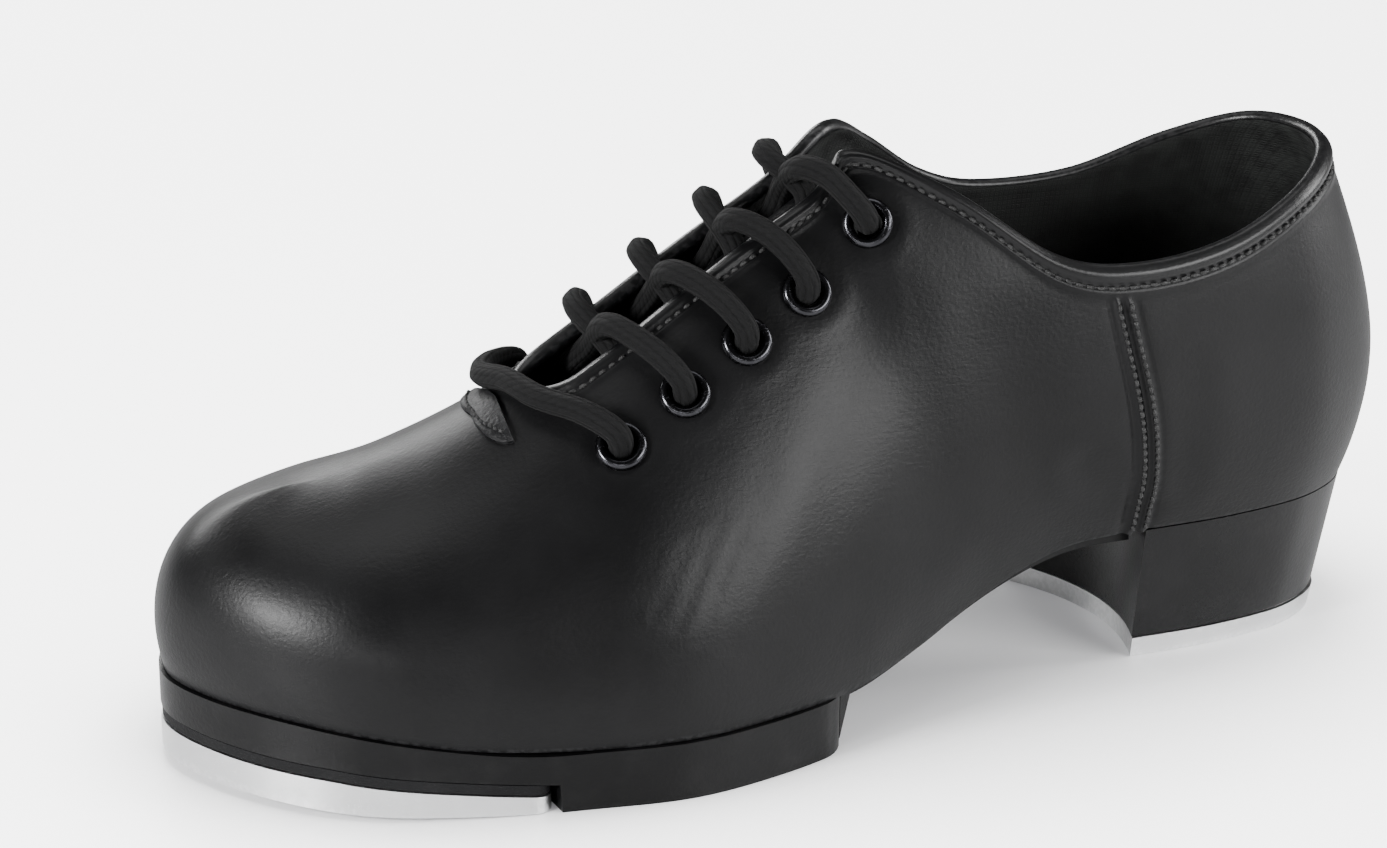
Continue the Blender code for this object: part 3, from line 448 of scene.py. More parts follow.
# Each row is a line on the upper, as pairs of station and rise, with the trough's depth and half width in
# metres. Its soft ridges stand at a share of its depth, so many half widths to each side.
RIDGE_SHARE = 0.55
RIDGE_PLACE = 1.7
RIDGE_SPREAD = 0.6
Crease = namedtuple("Crease", "line depth width")
CREASES = [
    Crease([(7.3, 0.62), (6.9, 0.45), (6.35, 0.30)], 0.00014, 0.0060),
    Crease([(6.7, 0.66), (6.3, 0.46), (5.9, 0.30)], 0.00012, 0.0050),
    Crease([(7.9, 0.55), (7.6, 0.38), (7.1, 0.22)], 0.00012, 0.0055),
    Crease([(6.55, 0.36), (6.30, 0.28), (6.10, 0.20)], 0.00020, 0.0013),
    Crease([(6.72, 0.33), (6.50, 0.25), (6.34, 0.17)], 0.00018, 0.0012),
    Crease([(6.36, 0.38), (6.10, 0.31), (5.88, 0.24)], 0.00020, 0.0013),
    Crease([(6.15, 0.39), (5.92, 0.33), (5.70, 0.27)], 0.00014, 0.0012),
    Crease([(8.6, 0.60), (8.9, 0.42), (9.0, 0.25)], 0.00018, 0.0070),
    Crease([(10.2, 0.62), (10.4, 0.40), (10.9, 0.20)], 0.00025, 0.0080),
    Crease([(11.1, 0.30), (11.5, 0.16), (11.9, 0.06)], 0.00040, 0.0040),
    Crease([(12.4, 0.55), (12.3, 0.30), (12.2, 0.10)], 0.00025, 0.0050),
    Crease([(-6.9, 0.66), (-6.6, 0.45), (-6.2, 0.28)], 0.00020, 0.0050),
    Crease([(-7.6, 0.60), (-7.4, 0.40), (-7.0, 0.24)], 0.00018, 0.0045),
    Crease([(-9.8, 0.60), (-10.2, 0.36), (-10.6, 0.18)], 0.00025, 0.0065),
    Crease([(-12.4, 0.50), (-12.3, 0.25), (-12.1, 0.08)], 0.00025, 0.0050),
]


def distance_to_line(points, line):
    """Distance of points from a line of straight lengths."""
    nearest = np.full(points.shape[:-1], 1.0)
    for start, end in zip(line[:-1], line[1:]):
        run = end - start
        share = np.clip(((points - start) @ run) / (run @ run), 0, 1)
        gap = points - start - share[..., None] * run
        nearest = np.minimum(nearest, np.linalg.norm(gap, axis=-1))
    return nearest


def creases_at(points):
    """How far the leather stands in or out for its creases."""
    lift = np.zeros(points.shape[:-1])
    for crease in CREASES:
        places = np.array(crease.line)
        fine = np.linspace(0, len(places) - 1, 9)
        station, rise = (np.interp(fine, range(len(places)), column) for column in places.T)
        gap = distance_to_line(points, skin(station, rise)) / crease.width
        ridge = RIDGE_SHARE * np.exp(-((gap - RIDGE_PLACE) ** 2) / RIDGE_SPREAD)
        lift += crease.depth * (ridge - np.exp(-(gap**2)))
    return lift


WAVE_HEIGHT = 0.00010


def soft_waves(points):
    """Slow unevenness that hand-lasted leather keeps, from waves whose lengths are in millimetres."""
    x, y, z = (points[..., i] / MM for i in range(3))
    wave = np.sin(x / 17 + 1.3 * np.sin(z / 21)) * np.sin(z / 13 + y / 19)
    wave += 0.6 * np.sin(x / 9.5 + z / 8 + 2) * np.sin(y / 11 - z / 15)
    return WAVE_HEIGHT * wave


# The dimple round an eyelet: its depth and the height of its rim, then places and widths in eyelet radii.
DIMPLE_DEPTH = 0.00045
DIMPLE_REACH = 1.12
DIMPLE_RIM = 0.00016
DIMPLE_RIM_PLACE = 1.55
DIMPLE_RIM_WIDTH = 0.3


def dimples_at(points):
    """How far the leather is pressed in round the eyelets, with a low rim outside."""
    lift = np.zeros(points.shape[:-1])
    for station, rise in PLACES.values():
        away = np.linalg.norm(points - skin(station, rise), axis=-1) / EYELET_RADIUS
        lift -= DIMPLE_DEPTH * np.exp(-((away / DIMPLE_REACH) ** 4))
        lift += DIMPLE_RIM * np.exp(-(((away - DIMPLE_RIM_PLACE) / DIMPLE_RIM_WIDTH) ** 2))
    return lift


# The bound edge, in millimetres below the rim: each part's middle, half width and height over the skin.
EdgePart = namedtuple("EdgePart", "middle width height")
BEAD = EdgePart(1.25, 1.4, 0.80)
STITCH_GROOVE = EdgePart(3.6, 0.45, -0.22)
SECOND_RIDGE = EdgePart(4.7, 0.75, 0.34)
BAND_THICKNESS = 0.12
BAND_FADE = (2.6, 5.6)
BAND_STATIONS = (8.6, 9.6)

# The rear seam, in millimetres from its middle, with the pull in the leather beside it.
SEAM_RIDGE = EdgePart(1.45, 0.75, 0.62)
SEAM_GROOVE = EdgePart(0, 0.4, -0.25)
SEAM_PULL = EdgePart(3.2, 0.9, -0.30)
SEAM_FADE = (0.0052, 0.0070)


def soft_part(place, part, power=2):
    """Height of a soft ridge or groove at a distance from where it is measured."""
    return part.height * np.exp(-(((place - part.middle) / part.width) ** power))


def band_scale(station):
    """Width of the bound edge as a share of the collar's: narrow on the facings."""
    return FACING_BAND + (1 - FACING_BAND) * smoothstep(abs(station), *BAND_STATIONS)


def binding_at(below, station):
    """Height of the bound edge over the skin: a rolled bead, a stitched groove and a second low ridge."""
    place = below / MM / band_scale(station)
    bead = np.sqrt(np.clip(1 - ((place - BEAD.middle) / BEAD.width) ** 2, 0, 1)) * BEAD.height
    floor = BAND_THICKNESS * (1 - smoothstep(place, *BAND_FADE))
    lift = bead + soft_part(place, STITCH_GROOVE) + soft_part(place, SECOND_RIDGE) + floor
    return MM * lift * (0.55 + 0.45 * band_scale(station))


SEAM_PUCKER, PUCKER_BEAT = 0.35, 150


def seam_at(station, rise, below):
    """Height of the rear seam: two raised edges, a groove between them and a pull beside them."""
    across = abs(abs(station) - SEAM_STATION) * SEAM_METRES / MM
    pucker = 1 + SEAM_PUCKER * np.sin(rise * PUCKER_BEAT)
    lift = soft_part(across, SEAM_RIDGE, 4) + soft_part(across, SEAM_GROOVE)
    lift = lift + pucker * soft_part(across, SEAM_PULL)
    return MM * lift * smoothstep(below, *SEAM_FADE)


def bound_share(station):
    """1 where the upper has a bound edge, 0 on the closed vamp."""
    rim = skin(bowed(station, soft_rim(station)), soft_rim(station))
    past = (THROAT_BASE - length_of(rim[..., 0])) / (THROAT_WIDTH / 2)
    is_open = abs(station) > THROAT_STATION - 1e-6
    return np.where(is_open, np.clip(past, 0, 1) ** 0.5, 0)


# Where the creases fade out: by rise above the foot, and by distance below a bound edge.
FOOT_FADE = (0.0, 0.12)
RIM_FADE = (0.004, 0.009)


def leather(station, rise, below, bound):
    """Point and normal of the finished leather surface."""
    point, normal, _ = skin_frame(bowed(station, rise), rise)
    free = smoothstep(rise, *FOOT_FADE)
    near_rim = smoothstep(below, *RIM_FADE) * bound + 1 - bound
    lift = (creases_at(point) + soft_waves(point)) * free * near_rim + dimples_at(point)
    lift += binding_at(below, station) * bound + seam_at(station, rise, below)
    return point + normal * lift[..., None], normal


# Meshes of the upper, its stitches, the tongue, the eyelets and the lace.


def linked(name, data):
    """A new object with its data, linked to the scene."""
    item = bpy.data.objects.new(name, data)
    bpy.context.scene.collection.objects.link(item)
    return item


def mesh_piece(name, points, faces, materials, face_materials=None, smooth=40, merge=1e-6):
    """An object from points and faces, its doubled points joined and its faces turned outwards."""
    work = bmesh.new()
    verts = [work.verts.new(point) for point in points]
    for i, face in enumerate(faces):
        made = work.faces.new([verts[j] for j in face])
        if face_materials is not None:
            made.material_index = int(face_materials[i])
    if merge:
        bmesh.ops.remove_doubles(work, verts=work.verts, dist=merge)
        bmesh.ops.dissolve_degenerate(work, dist=merge / 10, edges=work.edges)
    bmesh.ops.recalc_face_normals(work, faces=work.faces)
    mesh = bpy.data.meshes.new(name)
    work.to_mesh(mesh)
    work.free()
    mesh.shade_smooth()
    mesh.set_sharp_from_angle(angle=math.radians(smooth))
    for material in materials:
        mesh.materials.append(material)
    return linked(name, mesh)


def placed(item, slot, *nodes):
    """Ride a piece on the shoe and hide the nodes it stands for; its slot, the name of its finish, is not used.
    """
    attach(item, "root")
    if nodes:
        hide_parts(*nodes)
    return item


def grid_faces(rows, columns, closed_rows=False, closed_columns=False):
    """Faces of a grid of points stored row by row."""
    i, j = np.meshgrid(
        np.arange(rows if closed_rows else rows - 1),
        np.arange(columns if closed_columns else columns - 1),
        indexing="ij",
    )
    here, after, beside = i * columns, (i + 1) % rows * columns, (j + 1) % columns
    faces = np.stack([here + j, after + j, after + beside, here + beside], -1)
    return faces.reshape(-1, 4).tolist()


def column_stations():
    """Stations of the upper's columns on the outer side, closer at the throat's base, collar and seam."""
    half = THROAT_WIDTH / 2
    base = station_at(THROAT_BASE - half + half * np.cos(np.linspace(0, 1.5, BASE_COLUMNS)))
    flare = float(station_at(FLARE_START))
    past = FLARE_END[OUTER] + 0.3
    seam = SEAM_STATION + np.linspace(-4.4, 4.4, SEAM_COLUMNS) * MM / SEAM_METRES
    runs = [
        np.linspace(0, base[0], TOE_COLUMNS, endpoint=False),
        base,
        np.linspace(base[-1], flare, FACING_COLUMNS, endpoint=False)[1:],
        np.linspace(flare, past, FLARE_COLUMNS, endpoint=False),
        np.linspace(past, seam[0], QUARTER_COLUMNS, endpoint=False),
        seam,
        np.linspace(seam[-1], BACK, HEEL_COLUMNS)[1:],
    ]
    return np.concatenate(runs)


def column_rows(station, rim, bound):
    """Rises and distances below the rim of each column's rows, closer together in the bound edge."""
    fine = np.linspace(0, 1, 121)
    line = skin(bowed(station[:, None], rim[:, None] * fine), rim[:, None] * fine)
    steps = np.linalg.norm(np.diff(line, axis=1), axis=-1)
    run = np.concatenate([np.zeros((len(station), 1)), np.cumsum(steps, 1)], 1)
    total = run[:, -1]
    band = np.array([0.0] + BAND_PLACES) * MM
    rises, below = [], []
    for k in range(len(station)):
        narrow = band * band_scale(station[k])
        plain = np.linspace(0, total[k] - narrow[-1], PLAIN_ROWS, endpoint=False)
        banded = np.concatenate([plain, total[k] - narrow[::-1]])
        even = np.linspace(0, total[k], len(banded))
        place = even + (banded - even) * bound[k]
        rises.append(np.interp(place, run[k], fine) * rim[k])
        below.append(total[k] - place)
    return np.array(rises), np.array(below)


RIM_ANGLES = (35, 70, 105, 140)
RIM_FLATNESS = 0.8
SHELL, LINING, BINDING = 0, 1, 2
BINDING_ROW = PLAIN_ROWS + 6


def build_upper(finish):
    """The leather upper with its lining: closed over the toes, bound along the throat and collar."""
    outer = column_stations()
    station = np.concatenate([outer, -outer[-2:0:-1]])
    rim, bound = soft_rim(station), bound_share(station)
    rises, below = column_rows(station, rim, bound)
    outside, _ = leather(station[:, None], rises, below, bound[:, None])
    tops, top_normals, climbs = skin_frame(bowed(station, rim), rim)
    climbs = unit(climbs)
    is_open = abs(station) > THROAT_STATION - 1e-6
    turns = np.radians(RIM_ANGLES)
    start = np.linalg.norm(outside[:, -1] - tops, axis=-1)
    deep = WALL + BINDING_RISE * bound
    centre = tops + top_normals * ((start - deep) / 2)[:, None]
    radius = ((start + deep) / 2)[:, None]
    rims = [
        centre + radius * (top_normals * math.cos(a) + climbs * math.sin(a) * RIM_FLATNESS) for a in turns
    ]
    inner_rises = rim[:, None] * np.linspace(1, 0, LINING_ROWS)[None, :-1]
    inner, inner_normal, _ = skin_frame(bowed(station[:, None], inner_rises), inner_rises)
    lift = WALL + (BINDING_RISE * bound)[:, None] * (np.arange(LINING_ROWS - 1) < 1)
    inside = inner - inner_normal * lift[..., None]
    foot, out = skin(station, 0), outward(station)
    lips = []
    for depth, height in ((WALL, WALL), (LASTING_MARGIN, WALL), (LASTING_MARGIN, 0)):
        lip = foot - out * depth
        lip[:, 2] = seat_height(lip[:, 0]) + height
        lips.append(lip)
    rows = outside.shape[1]
    points, loops = [], []
    for k in range(len(station)):
        loop = list(outside[k])
        if is_open[k]:
            loop += [row[k] for row in rims]
        loop += list(inside[k]) + [lip[k] for lip in lips]
        loops.append((len(points), len(loop), bool(is_open[k])))
        points += loop
    faces, kinds = [], []

    def band_of(j):
        if j >= rows + len(turns):
            return LINING
        return BINDING if j >= BINDING_ROW else SHELL

    for here, there in zip(loops, loops[1:] + loops[:1]):
        if here[2] and there[2]:
            for j in range(here[1]):
                k = (j + 1) % here[1]
                faces.append((here[0] + j, there[0] + j, there[0] + k, here[0] + k))
                kinds.append(band_of(j))
            continue
        skips = [len(turns) if loop[2] else 0 for loop in (here, there)]
        for j in range(rows - 1):
            faces.append((here[0] + j, there[0] + j, there[0] + j + 1, here[0] + j + 1))
            kinds.append(SHELL)
        a, b = here[0] + rows + skips[0], there[0] + rows + skips[1]
        count = here[1] - rows - skips[0]
        for j in range(count - 1):
            faces.append((a + j, b + j, b + j + 1, a + j + 1))
            kinds.append(LINING)
        faces.append((a + count - 1, b + count - 1, there[0], here[0]))
        kinds.append(LINING)
    materials = [finish["upper_leather"], finish["lining_cloth"], finish["binding_leather"]]
    upper = mesh_piece("upper_shell", points, faces, materials, kinds, smooth=60)
    cut_eyelet_holes(upper)
    return placed(upper, "upper_leather", "upper")


HOLE_ALLOWANCE = 0.0006


def cut_eyelet_holes(upper):
    """Cut the holes that the eyelets sit in."""
    cutters = bmesh.new()
    radius = LACE_DIAMETER / 2 + LACE_CLEARANCE + HOLE_ALLOWANCE
    for station, rise in PLACES.values():
        point, normal, _ = skin_frame(station, rise)
        place = Vector(normal).to_track_quat("Z", "Y").to_matrix().to_4x4()
        place.translation = Vector(point)
        bmesh.ops.create_cone(
            cutters, cap_ends=True, segments=32, radius1=radius, radius2=radius, depth=6 * WALL, matrix=place
        )
    mesh = bpy.data.meshes.new("eyelet_cutters")
    cutters.to_mesh(mesh)
    cutters.free()
    tool = linked("eyelet_cutters", mesh)
    cut = upper.modifiers.new("eyelet holes", "BOOLEAN")
    cut.object = tool
    cut.solver = "EXACT"
    bpy.context.view_layer.update()
    result = bpy.data.meshes.new_from_object(upper.evaluated_get(bpy.context.evaluated_depsgraph_get()))
    upper.modifiers.clear()
    upper.data = result
    bpy.data.objects.remove(tool)


# A stitch, as shares of its thread's radius: how high its middle stands, how far its ends dip and how flat
# it is. Its tilt is the spread of its slant.
STITCH_LIFT, STITCH_DIP, STITCH_FLATNESS = 0.75, 1.35, 0.85
STITCH_TILT = 0.04


def stitch_row(name, path, normals, material, length, pitch, radius, seed):
    """A row of stitches along a path, each a short rounded thread whose ends dip into the leather."""
    draw = np.random.default_rng(seed)
    run = run_along(path)
    count = int(run[-1] / pitch)
    shares = np.linspace(-1, 1, 7)
    turns = np.linspace(0, 2 * math.pi, 8, endpoint=False)
    points, faces = [], []
    for i in range(count):
        middle = (i + 0.5) * run[-1] / count
        tilt = draw.normal(0, STITCH_TILT)
        places = middle + shares * length / 2
        line = np.stack([np.interp(places, run, path[:, k]) for k in range(3)], -1)
        normal = unit(np.array([np.interp(middle, run, normals[:, k]) for k in range(3)]))
        along = unit(line[-1] - line[0])
        side = np.cross(along, normal)
        line += side * (shares * length * tilt)[:, None]
        line += normal * (radius * (STITCH_LIFT - STITCH_DIP * abs(shares) ** 3))[:, None]
        girth = radius * np.sqrt(np.clip(1 - abs(shares) ** 6, 0.05, 1))
        first = len(points)
        for centre, r in zip(line, girth):
            points += [
                centre + r * (side * math.cos(t) + normal * math.sin(t) * STITCH_FLATNESS) for t in turns
            ]
        for a in range(len(shares) - 1):
            for b in range(len(turns)):
                c = (b + 1) % len(turns)
                here = first + a * len(turns)
                faces.append((here + b, here + c, here + len(turns) + c, here + len(turns) + b))
        end = first + (len(shares) - 1) * len(turns)
        faces.append([first + b for b in range(len(turns))])
        faces.append([end + b for b in reversed(range(len(turns)))])
    return mesh_piece(name, points, faces, [material], smooth=70, merge=0)


# Places of the stitch rows, in metres below the rim, and their pitches and lengths in stitch lengths.
EDGE_ROW = 0.0036
SEAM_ROW_TOP = 0.0066
SEAM_ROW_FOOT = 0.012
EDGE_PITCH = 1.22
SEAM_STITCH, SEAM_PITCH, SEAM_THREAD = 0.8, 0.92, 1.1
SEAM_SAMPLES = 160
STAY_STITCH, STAY_PITCH = 0.6, 0.8


def build_stitches(finish, settings):
    """Stitch rows along the bound edge and down both sides of each rear seam."""
    thread = finish["thread"]
    radius = settings.thread_diameter / 2
    for side, word in ((OUTER, "outer"), (INNER, "inner")):
        reach = np.linspace(THROAT_STATION + 0.02, BACK, 700) * -side
        scale = band_scale(reach)
        rise = below_rim(reach, EDGE_ROW * scale)
        path, normals = leather(reach, rise, EDGE_ROW * scale, np.ones(len(reach)))
        row = stitch_row(
            f"edge_stitches_{word}", path, normals, thread, settings.stitch_length,
            settings.stitch_length * EDGE_PITCH, radius, seed=3 + side,
        )
        placed(row, "upper_leather")
        for step, place in ((-SEAM_RIDGE.middle, "front"), (SEAM_RIDGE.middle, "rear")):
            station = -side * (SEAM_STATION + step * MM / SEAM_METRES)
            top = float(below_rim(np.array(station), SEAM_ROW_TOP))
            rises = np.linspace(SEAM_ROW_FOOT, top, SEAM_SAMPLES)
            stations = np.full(SEAM_SAMPLES, station)
            run = run_along(skin(bowed(stations, rises), rises))
            path, normals = leather(stations, rises, run[-1] - run + SEAM_ROW_TOP, np.ones(SEAM_SAMPLES))
            row = stitch_row(
                f"seam_stitches_{word}_{place}", path, normals, thread, settings.stitch_length * SEAM_STITCH,
                settings.stitch_length * SEAM_PITCH, radius * SEAM_THREAD, seed=9 + side,
            )
            placed(row, "upper_leather")


def sheet_piece(name, low, high, materials, smooth=50, side_rows=()):
    """A closed sheet from two grids of points, one below and one above, with rows of points up its sides.

    An end whose points all meet in one upright line is closed by its neighbours and gets no face of its own.
    """
    rows, columns = low.shape[:2]
    shares = np.array(side_rows).reshape(1, -1, 1)
    right = low[:, -1:] + (high[:, -1:] - low[:, -1:]) * shares
    left = high[:, :1] + (low[:, :1] - high[:, :1]) * shares
    around = np.concatenate([low, right, high[:, ::-1], left], 1)
    count = around.shape[1]
    faces = grid_faces(rows, count, closed_columns=True)
    extra = len(side_rows)
    for row in (0, rows - 1):
        if np.ptp(low[row], axis=0).max() < 1e-6:
            continue
        start = row * count
        top = start + columns + extra + columns - 1
        for j in range(columns - 1):
            face = [start + j, start + j + 1]
            if j == columns - 2:
                face += range(start + columns, start + columns + extra)
            face += [top - j - 1, top - j]
            if j == 0:
                face += range(top + 1, start + count)
            faces.append(face)
    return mesh_piece(name, around.reshape(-1, 3), faces, materials, smooth=smooth)


# Widths of the pieces' rounded edges, and the least angle that is rounded.
STAY_BEVEL = 0.00018
TONGUE_BEVEL = 0.0007
SOLE_BEVEL = 0.00035
TOE_TAP_BEVEL = 0.0006
TAP_PAD_BEVEL = 0.0003
HEEL_BEVEL = 0.0004
HEEL_TAP_BEVEL = 0.0008
BEVEL_ANGLE = 38


def softened(item, width, segments=3):
    """Round a piece's hard edges."""
    bevel = item.modifiers.new("rounded edges", "BEVEL")
    bevel.width = width
    bevel.segments = segments
    bevel.limit_method = "ANGLE"
    bevel.angle_limit = math.radians(BEVEL_ANGLE)
    bevel.harden_normals = False
    return item


# The stay's dome, as shares of its thickness, with how steeply it falls at its sides and at its front. Its
# stitches run round at shares of its length and width, on a turn cut off at an angle.
STAY_RIM, STAY_DOME = 0.45, 0.75
STAY_SIDE_FALL, STAY_FRONT_FALL = 6, 8
STAY_SINK = 0.0002
STAY_ROW_TURN, STAY_ROW_WIDTH, STAY_ROW_START, STAY_ROW_LENGTH, STAY_ROW_HEIGHT = 1.35, 0.84, 0.16, 0.72, 1.15


def build_stay(finish, settings):
    """The half-moon stay on the vamp ahead of the throat, with its row of stitches."""
    share = np.linspace(0, 1, 15)
    straight = THROAT_BASE + STAY_GAP
    reach = STAY_WIDTH / 2 * np.sqrt(1 - STAY_ROUNDNESS * share**2)
    station = station_at(straight + STAY_LENGTH * share)
    across = np.linspace(-1, 1, 37)
    offset = reach[:, None] * across
    sides = np.minimum(1, STAY_SIDE_FALL * (1 - abs(across)))
    edge = sides[None, :] * np.minimum(1, STAY_FRONT_FALL * (1 - share * 0.999))[:, None]
    domed = GAP + STAY_THICKNESS * (STAY_RIM + STAY_DOME * np.sqrt(np.clip(edge, 0.02, 1)))
    low = over_throat(station[:, None], offset, np.full(offset.shape, -STAY_SINK))
    high = over_throat(station[:, None], offset, domed)
    stay = sheet_piece("throat_stay_patch", low, high, [finish["stay_leather_highlit"]])
    softened(stay, STAY_BEVEL, 2)
    placed(stay, "upper_leather", "throat_stay")
    turn = np.linspace(-STAY_ROW_TURN, STAY_ROW_TURN, 90)
    s = straight + STAY_LENGTH * (STAY_ROW_START + STAY_ROW_LENGTH * np.cos(turn) ** 2)
    side = np.sin(turn) / math.sin(STAY_ROW_TURN) * STAY_WIDTH / 2 * STAY_ROW_WIDTH
    path = over_throat(station_at(s), side, np.full(len(turn), GAP + STAY_THICKNESS * STAY_ROW_HEIGHT))
    normals = path - over_throat(station_at(s), side, np.zeros(len(turn)))
    row = stitch_row(
        "throat_stay_stitches", path, normals, finish["thread"], settings.stitch_length * STAY_STITCH,
        settings.stitch_length * STAY_PITCH, settings.thread_diameter * 0.4, seed=5,
    )
    placed(row, "upper_leather")


TONGUE_SWELL = 0.0004


def build_tongue(finish):
    """The padded leather tongue under the lace."""
    front = float(station_at(THROAT_BASE + TONGUE_OVERLAP))
    end = float(station_at(FLARE_START))
    station = np.linspace(front, end, 60)
    s = length_of(skin(station, 1)[:, 0])
    ramp = np.clip((THROAT_BASE + TONGUE_OVERLAP - s) / TONGUE_RAMP, 0, 1)
    deep = WALL + BINDING_RISE + LACE_DIAMETER + 3 * GAP
    depth = WALL + GAP + (deep - WALL - GAP) * (3 * ramp**2 - 2 * ramp**3)
    reach = TONGUE_HALF_WIDTH * (TONGUE_FRONT + (1 - TONGUE_FRONT) * ramp)
    across = np.linspace(-1, 1, 49)
    offset = reach[:, None] * across
    swell = TONGUE_SWELL * (1 - across**2)[None, :] * ramp[:, None]
    high = over_throat(station[:, None], offset, -depth[:, None] + swell)
    low = over_throat(station[:, None], offset, -depth[:, None] - TONGUE_THICKNESS)
    tongue = sheet_piece("tongue_leaf", low, high, [finish["tongue_leather"]])
    softened(tongue, TONGUE_BEVEL)
    placed(tongue, "tongue_leather", "tongue")


def turned_piece(name, profile, point, normal, material):
    """A ring turned about an axis: the profile holds its radii and its heights along the axis."""
    turn = Vector(normal).to_track_quat("Z", "Y").to_matrix()
    points = []
    for i in range(RING_SIDES):
        angle = 2 * math.pi * i / RING_SIDES
        for radius, height in profile:
            local = turn @ Vector((radius * math.cos(angle), radius * math.sin(angle), height))
            points.append(np.array(point) + np.array(local))
    faces = grid_faces(RING_SIDES, len(profile), closed_rows=True, closed_columns=True)
    return mesh_piece(name, points, faces, [material], smooth=50)


EYELET_METAL = 0.0004
ROLL_HEIGHT = 0.00125


def build_eyelets(finish):
    """Ten rolled metal eyelets with their barrels and inner washers."""
    bore = LACE_DIAMETER / 2 + LACE_CLEARANCE - 0.0001
    barrel = bore + EYELET_METAL
    middle, half = (bore + EYELET_RADIUS) / 2, (EYELET_RADIUS - bore) / 2
    arc = np.linspace(math.pi, -0.25, 11)
    profile = [(middle + half * math.cos(a), -0.0001 + ROLL_HEIGHT * math.sin(a)) for a in arc]
    inside = -(WALL + 2 * GAP)
    profile += [
        (EYELET_RADIUS - 0.0006, -0.0007),
        (barrel, -0.0006),
        (barrel, inside),
        (EYELET_RADIUS * 0.85, inside),
        (EYELET_RADIUS * 0.88, inside - 0.0003),
        (EYELET_RADIUS * 0.80, inside - 0.0006),
        (bore, inside - 0.0006),
    ]
    for (side, number), (station, rise) in PLACES.items():
        point, normal, _ = skin_frame(station, rise)
        word = "outer" if side == OUTER else "inner"
        ring = turned_piece(f"eyelet_ring_{word}_{number}", profile, point, normal, finish["eyelet_metal"])
        placed(ring, "eyelet_metal", f"eyelet_{word}_{number}")


# One row for each point of a pass of lace: along is its share of the way from its own eyelet's section to the
# next one's, across its offset from the crown as a share of the eyelet's, level its height: 1 lies over the
# facing, -1 under it and 0 half way between; arch is what it stands higher, in lace diameters.
LacePoint = namedtuple("LacePoint", "along across level arch")
CROSSING = [
    LacePoint(0.12, 0.80, 1.0, 0.10),
    LacePoint(0.32, 0.56, 1.0, 0.12),
    LacePoint(0.50, 0.27, 0.9, 0.00),
    LacePoint(0.62, -0.27, -0.9, 0.00),
    LacePoint(0.74, -0.55, -1.0, -0.05),
    LacePoint(0.84, -0.72, -1.0, -0.10),
]
BAR = [
    LacePoint(-0.30, 0.74, 1.0, 0.08),
    LacePoint(-0.76, 0.42, 1.0, 0.02),
    LacePoint(-1.02, 0.06, 1.0, 0.00),
    LacePoint(-0.94, -0.34, 1.0, 0.00),
    LacePoint(-0.50, -0.70, 1.0, 0.02),
]


def lace_pass(rows, side, start, end):
    """The points of one pass of lace, from one eyelet of a side towards another."""
    over = BINDING_RISE + GAP + LACE_DIAMETER / 2
    under = -(WALL + BINDING_RISE + GAP + LACE_DIAMETER / 2)
    route = []
    for row in rows:
        own = side if row.across >= 0 else -side
        (first, rise), (second, _) = PLACES[own, start], PLACES[own, end]
        reach = abs(float(skin(first, rise)[1]) - float(crown_offset(first)))
        station = abs(first) + row.along * (abs(second) - abs(first))
        height = (over + under) / 2 + (over - under) / 2 * row.level + row.arch * LACE_DIAMETER
        route.append(over_throat(station, side * row.across * reach, height))
    return route


# Points of the lace at an eyelet, in metres: how far out of the leather, and how far up towards the rim.
EYELET_PASS = ((0.0024, 0.0014), (0.0002, 0.0), (-0.0034, 0.0008))
LACE_END = (-0.0052, -0.0030)


def at_eyelet(side, number, places):
    """The points of the lace at an eyelet."""
    point, normal, climb = skin_frame(*PLACES[side, number])
    return [point + normal * out + unit(climb) * up for out, up in places]


def lace_half(side):
    """One half of the lace, from the bar's eyelet of a side up to its last eyelet, where it ends inside."""
    route = at_eyelet(side, 1, EYELET_PASS)
    for number in range(2, EYELET_COUNT + 1):
        route += lace_pass(CROSSING, -side, number, number - 1)[::-1]
        side = -side
        route += at_eyelet(side, number, EYELET_PASS)
    return route + at_eyelet(side, EYELET_COUNT, [LACE_END])


CURVE_STEPS = 24


def smooth_line(route, step):
    """A smooth curve through a route's points, cut into even steps."""
    route = np.array(route)
    padded = np.concatenate([[2 * route[0] - route[1]], route, [2 * route[-1] - route[-2]]])
    knots = np.concatenate([[0], np.cumsum(np.linalg.norm(np.diff(padded, axis=0), axis=1) ** 0.5)])
    line = []
    for k in range(1, len(padded) - 2):
        a, b, c, d = padded[k - 1 : k + 3]
        ta, tb, tc, td = knots[k - 1 : k + 3]
        t = np.linspace(tb, tc, CURVE_STEPS, endpoint=False)[:, None]
        ab = a + (b - a) * (t - ta) / (tb - ta)
        bc = b + (c - b) * (t - tb) / (tc - tb)
        cd = c + (d - c) * (t - tc) / (td - tc)
        abc = ab + (bc - ab) * (t - ta) / (tc - ta)
        bcd = bc + (cd - bc) * (t - tb) / (td - tb)
        line.append(abc + (bcd - abc) * (t - tb) / (tc - tb))
    line = np.concatenate(line + [route[-1:]])
    run = run_along(line)
    places = np.linspace(0, run[-1], int(run[-1] / step) + 1)
    return np.stack([np.interp(places, run, line[:, k]) for k in range(3)], -1), places


# How often the lace's line is eased, its soft ribs and their sway, and its swells: shares of its radius, and
# lengths in metres.
LACE_EASINGS = 6
SOFT_RIBS, RIB_DEPTH, RIB_SWAY, SWAY_LENGTH = 6, 0.035, 2, 0.02
SWELL, SWELL_LENGTH = 0.015, 0.0031


